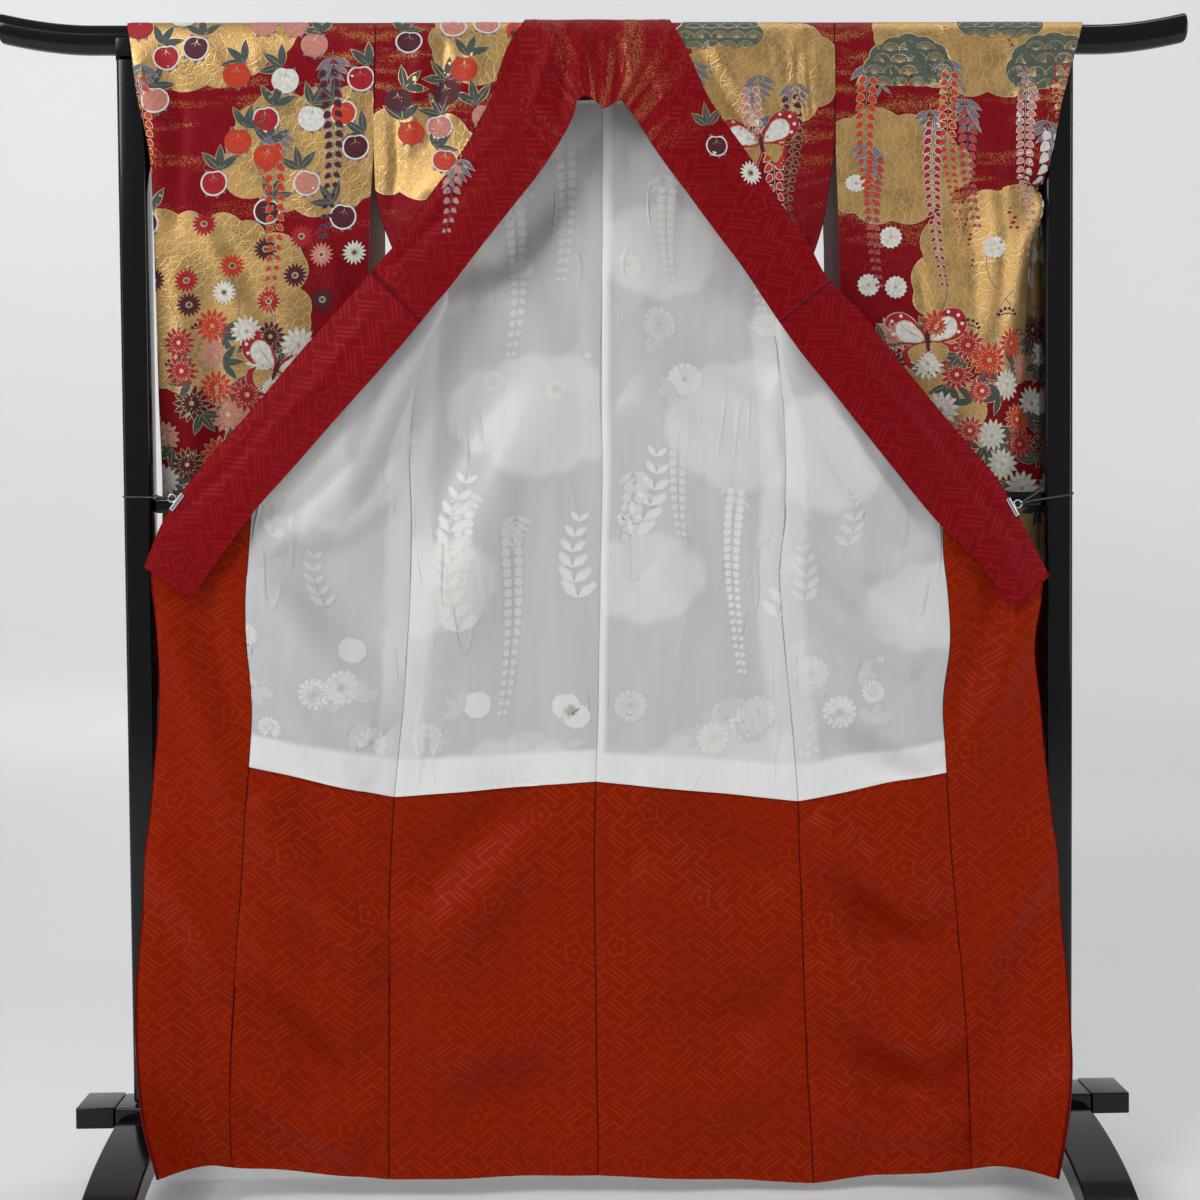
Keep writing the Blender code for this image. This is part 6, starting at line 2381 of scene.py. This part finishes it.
class FurisodePrint(bpy.types.PropertyGroup):
    gold: colour_setting("Gold leaf", "Leaf gold of the clouds", (0.58, 0.335, 0.10))
    gold_line: colour_setting("Gold line", "Fine gold outlines", (0.70, 0.50, 0.26))
    white: colour_setting("White", "White petals", (0.80, 0.78, 0.72))
    coral: colour_setting("Coral", "Orange-red petals and fruit", (0.60, 0.045, 0.015))
    crimson: colour_setting("Crimson", "Deep red petals", (0.42, 0.010, 0.020))
    plum: colour_setting("Plum", "Dark plum petals and fruit", (0.085, 0.010, 0.020))
    pink: colour_setting("Pink", "Pink petals and fruit", (0.62, 0.24, 0.18))
    pine: colour_setting("Pine", "Grey-green needles", (0.085, 0.115, 0.085))
    leaf: colour_setting("Leaf", "Dark grey-green leaves", (0.070, 0.085, 0.075))
    lilac: colour_setting("Lilac", "Blue-grey leaves and grass", (0.17, 0.17, 0.25))


class FurisodeStand(bpy.types.PropertyGroup):
    lacquer: colour_setting("Lacquer", "Colour of the stand", (0.004, 0.004, 0.0045))
    gloss: bpy.props.FloatProperty(name="Gloss", description="Roughness of the lacquer",
                                   default=0.13, min=0, max=1, subtype="FACTOR")
    chrome: colour_setting("Chrome", "Colour of the clips", (0.80, 0.80, 0.82))


class FurisodeStudio(bpy.types.PropertyGroup):
    paper: colour_setting("Backdrop", "Pale paper behind and below the stand",
                          (0.94, 0.95, 0.95))
    key: light_setting("Key light", "Power of the large front light", 60.0)
    fill: light_setting("Fill light", "Power of the side lights", 25.0)
    backdrop: light_setting("Backdrop light", "Power of the light over the backdrop", 34.0)


SETTINGS = {
    "furisode_cloth": FurisodeCloth,
    "furisode_print": FurisodePrint,
    "furisode_stand": FurisodeStand,
    "furisode_studio": FurisodeStudio,
}

# Surfaces and materials made once and shared by the operators
WORKSHOP = {}


def shared_panels(context):
    if "panels" not in WORKSHOP:
        WORKSHOP["panels"] = build_panels(context.scene.furisode_cloth.cell)
    return WORKSHOP["panels"]


def shared_material(name, make):
    if name not in WORKSHOP:
        WORKSHOP[name] = make()
    return WORKSHOP[name]


def lacquer(context):
    stand = context.scene.furisode_stand
    return shared_material("lacquer",
                           lambda: gloss_lacquer(opaque(stand.lacquer), stand.gloss))


def printed_silk(context):
    cloth = context.scene.furisode_cloth
    return shared_material("printed silk", lambda: printed_ground(opaque(cloth.red)))


ALL = slice(None)
# How far the lower lining stays behind the okumi's free edge
OKUMI_EDGE = 3.0 * MM
SEAM_SIDES = {"back": ("first", "last"), "front": ("first", "last"), "okumi": ("first",)}
LINING_DEPTH = OUTER_CLOTH + LAYER_GAP


class FURISODE_OT_outer_cloth(bpy.types.Operator):
    """Back, front and okumi panels of the printed silk"""
    bl_idname = "furisode.outer_cloth"
    bl_label = "Outer cloth"

    def execute(self, context):
        panels = shared_panels(context)
        material = printed_silk(context)
        for side in SIGN:
            for part in ("back", "front", "okumi"):
                name = "%s_%s" % (part, side)
                panel = panels[name]
                piece = shell("furisode_" + name, panel, ALL, ALL, 0, OUTER_CLOTH, material,
                              {
                                  "dust": dust_marks(name, panel),
                                  # seam: where painted shade darkens the cloth beside its seams
                                  "seam": panel.seam_shade_marks(ALL, SEAM_SIDES[part])})
                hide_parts(name)
        return {"FINISHED"}


class FURISODE_OT_sleeves(bpy.types.Operator):
    """Front and back walls of the long sleeves, and the linings that show under the arms"""
    bl_idname = "furisode.sleeves"
    bl_label = "Sleeves"

    def execute(self, context):
        panels = shared_panels(context)
        material = printed_silk(context)
        white = white_lining(context)
        for side in SIGN:
            for wall_name in ("front", "back"):
                name = "sleeve_%s_%s" % (side, wall_name)
                panel = panels[name]
                piece = shell("furisode_" + name, panel, ALL, ALL, 0, OUTER_CLOTH, material,
                              {"dust": dust_marks(name, panel)})
                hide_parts(name)
            rows = slice(panel.row_at[BAR_ROWS], panel.row_at[-3])
            columns = slice(0, panel.column_at[-2])
            shape = panel.across[rows, columns].shape
            lining = shell("furisode_sleeve_lining_" + side, panel, rows, columns,
                           LINING_DEPTH, LINING_CLOTH, white,
                           {"through": np.full(shape, SLEEVE_LINING_THROUGH),
                            "doubled": np.full(shape, SLEEVE_LINING_DOUBLED)})
            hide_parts("sleeve_lining_" + side)
        return {"FINISHED"}


def white_lining(context):
    cloth = context.scene.furisode_cloth
    return shared_material("white", lambda: sheer_silk(opaque(cloth.white),
                                                       opaque(cloth.veiled),
                                                       opaque(cloth.warm)))


class FURISODE_OT_white_lining(bpy.types.Operator):
    """Sheer white lining of the upper body"""
    bl_idname = "furisode.white_lining"
    bl_label = "White lining"

    def execute(self, context):
        panels = shared_panels(context)
        material = white_lining(context)
        for side in SIGN:
            for part, top in (("back", BAR_ROWS), ("front", FRONT_LINING_TOP)):
                name = "%s_%s" % (part, side)
                panel = panels[name]
                rows = slice(panel.row_at[top], panel.row_at[LINING_EDGE] + 1)
                marks = lining_marks(name, panel, rows)
                # Where painted shade darkens the lining beside its seams
                marks["seam"] = panel.seam_shade_marks(rows, SEAM_SIDES[part])
                piece = shell("furisode_lining_" + name, panel, rows, ALL, LINING_DEPTH,
                              LINING_CLOTH, material, marks)
                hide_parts("lining_" + name)
        return {"FINISHED"}


class FURISODE_OT_lower_lining(bpy.types.Operator):
    """Vermilion damask lining of the skirt and the okumi"""
    bl_idname = "furisode.lower_lining"
    bl_label = "Lower lining"

    def execute(self, context):
        panels = shared_panels(context)
        cloth = context.scene.furisode_cloth
        material = shared_material("vermilion", lambda: damask(
            "vermilion damask", opaque(cloth.vermilion), opaque(cloth.vermilion_lit),
            0.34, 0.50))
        for side in SIGN:
            for part, top in (("back", LINING_EDGE), ("front", LINING_EDGE), ("okumi", None)):
                name = "%s_%s" % (part, side)
                panel = panels[name]
                rows = ALL if top is None else slice(panel.row_at[top], None)
                piece = shell("furisode_hakkake_" + name, panel, rows, ALL, LINING_DEPTH,
                              LINING_CLOTH, material,
                              # seam: where painted shade darkens the damask beside its seams
                              {"seam": panel.seam_shade_marks(rows, SEAM_SIDES[part])},
                              OKUMI_EDGE if part == "okumi" else 0.0)
                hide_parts("hakkake_" + name)
        return {"FINISHED"}


class FURISODE_OT_collar(bpy.types.Operator):
    """Main collar and the cover round the neck"""
    bl_idname = "furisode.collar"
    bl_label = "Collar"

    def execute(self, context):
        collar = shared_panels(context)["collar"]
        cloth = context.scene.furisode_cloth
        material = shared_material("collar", lambda: damask(
            "collar damask", opaque(cloth.collar), opaque(cloth.collar_lit), 0.34, 0.50, True))
        left_end = BAND_END - OVER_COLLAR_END["left"]
        right_end = BAND_END + 1 + len(NECK) + OVER_COLLAR_END["right"]
        parts = (("collar_left", 0, left_end, ("bottom",)),
                 ("over_collar", left_end, right_end, ("top", "bottom")),
                 ("collar_right", right_end, -1, ("top",)))
        for name, first, last, joined in parts:
            rows = slice(collar.row_at[first], collar.row_at[last] + 1)
            piece = shell("furisode_" + name, collar, rows, ALL, 0, COLLAR_CLOTH, material,
                          collar_marks(collar, rows, joined))
            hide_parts(name)
        return {"FINISHED"}


class FURISODE_OT_stand_bar(bpy.types.Operator):
    """Lacquered bar with raised ends"""
    bl_idname = "furisode.stand_bar"
    bl_label = "Stand bar"

    def execute(self, context):
        build_bar(lacquer(context))
        return {"FINISHED"}


class FURISODE_OT_stand_posts(bpy.types.Operator):
    """Posts with the cheeks that hold the bar"""
    bl_idname = "furisode.stand_posts"
    bl_label = "Stand posts"

    def execute(self, context):
        seat = BAR_TOP - BAR_HEIGHT - FIT_GAP
        half_w, half_d = POST_WIDTH / 2, POST_DEPTH / 2
        for side, sign in SIGN.items():
            low_x, high_x = sign * POST_X - half_w, sign * POST_X + half_w
            boxes = [((low_x, -half_d, POST_FOOT + FIT_GAP), (high_x, half_d, seat), POST_ROUND)]
            for y0, y1 in ((-half_d, -SLOT_HALF), (SLOT_HALF, half_d)):
                boxes.append(((low_x, y0, seat - CHEEK_ROOT), (high_x, y1, POST_TOP),
                              CHEEK_ROUND))
            piece = rounded_boxes("kimono_stand_post_" + side, boxes, lacquer(context))
            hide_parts("post_" + side)
        return {"FINISHED"}


class FURISODE_OT_stand_rails(bpy.types.Operator):
    """Middle rail, shelf and the shelf's end caps"""
    bl_idname = "furisode.stand_rails"
    bl_label = "Stand rail and shelf"

    def execute(self, context):
        for name, radius in (("middle_rail", 0.005), ("shelf", 0.003), ("shelf_cap_left", 0.002),
                             ("shelf_cap_right", 0.002)):
            low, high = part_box(name)
            piece = rounded_boxes("kimono_stand_" + name, [(low, high, radius)],
                                  lacquer(context))
            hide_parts(name)
        return {"FINISHED"}


class FURISODE_OT_stand_feet(bpy.types.Operator):
    """Arched feet in front of and behind the shelf"""
    bl_idname = "furisode.stand_feet"
    bl_label = "Stand feet"

    def execute(self, context):
        for side, sign in SIGN.items():
            for end, end_sign in (("front", -1), ("back", 1)):
                build_foot(side, sign, end, end_sign, lacquer(context))
        return {"FINISHED"}


class FURISODE_OT_clips(bpy.types.Operator):
    """Chrome clips with their rings"""
    bl_idname = "furisode.clips"
    bl_label = "Clips"

    def execute(self, context):
        chrome = shared_material("chrome", lambda: polished_chrome(
            opaque(context.scene.furisode_stand.chrome), 0.10))
        for side in SIGN:
            build_clip(side, chrome)
        return {"FINISHED"}


class FURISODE_OT_ties(bpy.types.Operator):
    """Elastic ties from the clips round the posts"""
    bl_idname = "furisode.ties"
    bl_label = "Ties"

    def execute(self, context):
        elastic = shared_material("elastic", braided_elastic)
        for side, sign in SIGN.items():
            build_tie(side, sign, elastic)
        return {"FINISHED"}


class FURISODE_OT_prints(bpy.types.Operator):
    """Gold clouds, flowers, pines and butterflies on the outer cloth"""
    bl_idname = "furisode.prints"
    bl_label = "Prints"

    def execute(self, context):
        inks = make_inks(context.scene.furisode_print)
        for name, panel in shared_panels(context).items():
            lay_prints(name, panel, inks)
        for part in ("back_left", "back_right", "front_left", "front_right"):
            lay_ghosts(part, shared_panels(context)[part], white_lining(context))
        return {"FINISHED"}


class FURISODE_OT_stage(bpy.types.Operator):
    """Pale studio sweep, soft lights and the camera"""
    bl_idname = "furisode.stage"
    bl_label = "Stage"

    def execute(self, context):
        studio = context.scene.furisode_studio
        build_sweep(opaque(studio.paper))
        build_lights(context.scene, studio)
        build_camera(context.scene)
        context.scene.view_settings.view_transform = "Standard"
        return {"FINISHED"}


# Paper sweep: its near edge, where it turns up and how roundly, its height, half its width and
# its gap under the feet
SWEEP_NEAR = -4.0
SWEEP_TURN = (1.1, 0.7)
SWEEP_HEIGHT = 4.2
SWEEP_HALF = 4.5
FLOOR_GAP = 0.0004

# Area lights: name, place, the point they face, width and height, which power, share of it
LIGHTS = (
    ("key light", (-2.3, -2.3, 3.1), (0.0, 0.0, 0.8), (1.5, 1.5), "key", 1.0),
    ("right softbox", (2.9, -1.9, 1.5), (0.1, 0.0, 0.9), (0.6, 2.2), "fill", 1.0),
    ("left softbox", (-2.9, -1.5, 1.3), (0.0, 0.0, 0.7), (0.5, 2.2), "fill", 0.5),
    ("backdrop light", (1.5, 0.2, 4.5), (1.3, 1.8, 0.2), (4.4, 0.5), "backdrop", 1.0),
)


def build_sweep(colour):
    """Floor that curves up into the backdrop."""
    turn_at, round_out = SWEEP_TURN
    profile = [(SWEEP_NEAR, 0.0), (turn_at, 0.0)]
    profile += [(turn_at + round_out * math.sin(a), round_out - round_out * math.cos(a))
                for a in np.linspace(0, math.pi / 2, 18)[1:]]
    profile.append((turn_at + round_out, SWEEP_HEIGHT))
    vertices = [(x, y, z - FLOOR_GAP) for y, z in profile for x in (-SWEEP_HALF, SWEEP_HALF)]
    faces = [(2 * i, 2 * i + 1, 2 * i + 3, 2 * i + 2) for i in range(len(profile) - 1)]
    mesh = bpy.data.meshes.new("studio_sweep")
    mesh.from_pydata(vertices, [], faces)
    mesh.shade_smooth()
    mesh.materials.append(studio_paper(colour, 0.38))
    sweep = bpy.data.objects.new("studio_sweep", mesh)
    bpy.context.scene.collection.objects.link(sweep)


def build_lights(scene, studio):
    """Soft area lights and a faint even light all round."""
    for name, place, target, size, power, share in LIGHTS:
        data = bpy.data.lights.new(name, "AREA")
        data.shape = "RECTANGLE"
        data.size, data.size_y = size
        data.energy = getattr(studio, power) * share
        light = bpy.data.objects.new(name, data)
        light.location = place
        towards = Vector(target) - Vector(place)
        light.rotation_euler = towards.to_track_quat("-Z", "Y").to_euler()
        scene.collection.objects.link(light)
    world = bpy.data.worlds.new("soft studio")
    world.use_nodes = True
    background = world.node_tree.nodes["Background"]
    background.inputs[0].default_value = (0.92, 0.95, 1.0, 1)
    background.inputs[1].default_value = 0.30
    scene.world = world


def build_camera(scene):
    """Camera in front of the garment, a little left, looking slightly right and down."""
    data = bpy.data.cameras.new("camera")
    data.sensor_width = 36
    data.lens = CAMERA_LENS
    camera = bpy.data.objects.new("camera", data)
    cos_p, sin_p = math.cos(CAMERA_DOWN), math.sin(CAMERA_DOWN)
    forward = Vector((math.sin(CAMERA_YAW) * cos_p, math.cos(CAMERA_YAW) * cos_p, -sin_p))
    level = Vector((math.cos(CAMERA_YAW), -math.sin(CAMERA_YAW), 0))
    upright = level.cross(forward)
    right = level * math.cos(CAMERA_LEAN) + upright * math.sin(CAMERA_LEAN)
    up = upright * math.cos(CAMERA_LEAN) - level * math.sin(CAMERA_LEAN)
    turn = Matrix((right, up, -forward)).transposed().to_4x4()
    camera.matrix_world = Matrix.Translation(CAMERA_PLACE) @ turn
    scene.collection.objects.link(camera)
    scene.camera = camera


OPERATORS = (
    FURISODE_OT_outer_cloth,
    FURISODE_OT_sleeves,
    FURISODE_OT_white_lining,
    FURISODE_OT_lower_lining,
    FURISODE_OT_collar,
    FURISODE_OT_prints,
    FURISODE_OT_stand_bar,
    FURISODE_OT_stand_posts,
    FURISODE_OT_stand_rails,
    FURISODE_OT_stand_feet,
    FURISODE_OT_clips,
    FURISODE_OT_ties,
    FURISODE_OT_stage,
)


class FURISODE_PT_pieces(bpy.types.Panel):
    """Pieces of the furisode and its stand"""
    bl_label = "Furisode"
    bl_idname = "FURISODE_PT_pieces"
    bl_space_type = "VIEW_3D"
    bl_region_type = "UI"
    bl_category = "Furisode"

    def draw(self, context):
        for group, kind in SETTINGS.items():
            column = self.layout.column(heading=group.replace("_", " ").capitalize())
            for setting in kind.__annotations__:
                column.prop(getattr(context.scene, group), setting)
        for operator in OPERATORS:
            self.layout.operator(operator.bl_idname)


def register():
    for kind in (*SETTINGS.values(), *OPERATORS, FURISODE_PT_pieces):
        bpy.utils.register_class(kind)
    for group, kind in SETTINGS.items():
        setattr(bpy.types.Scene, group, bpy.props.PointerProperty(type=kind))


def unregister():
    for group in SETTINGS:
        delattr(bpy.types.Scene, group)
    for kind in (FURISODE_PT_pieces, *reversed(OPERATORS), *SETTINGS.values()):
        bpy.utils.unregister_class(kind)


def main():
    register()
    for operator in OPERATORS:
        group, action = operator.bl_idname.split(".")
        getattr(getattr(bpy.ops, group), action)()


if __name__ == "__main__":
    main()
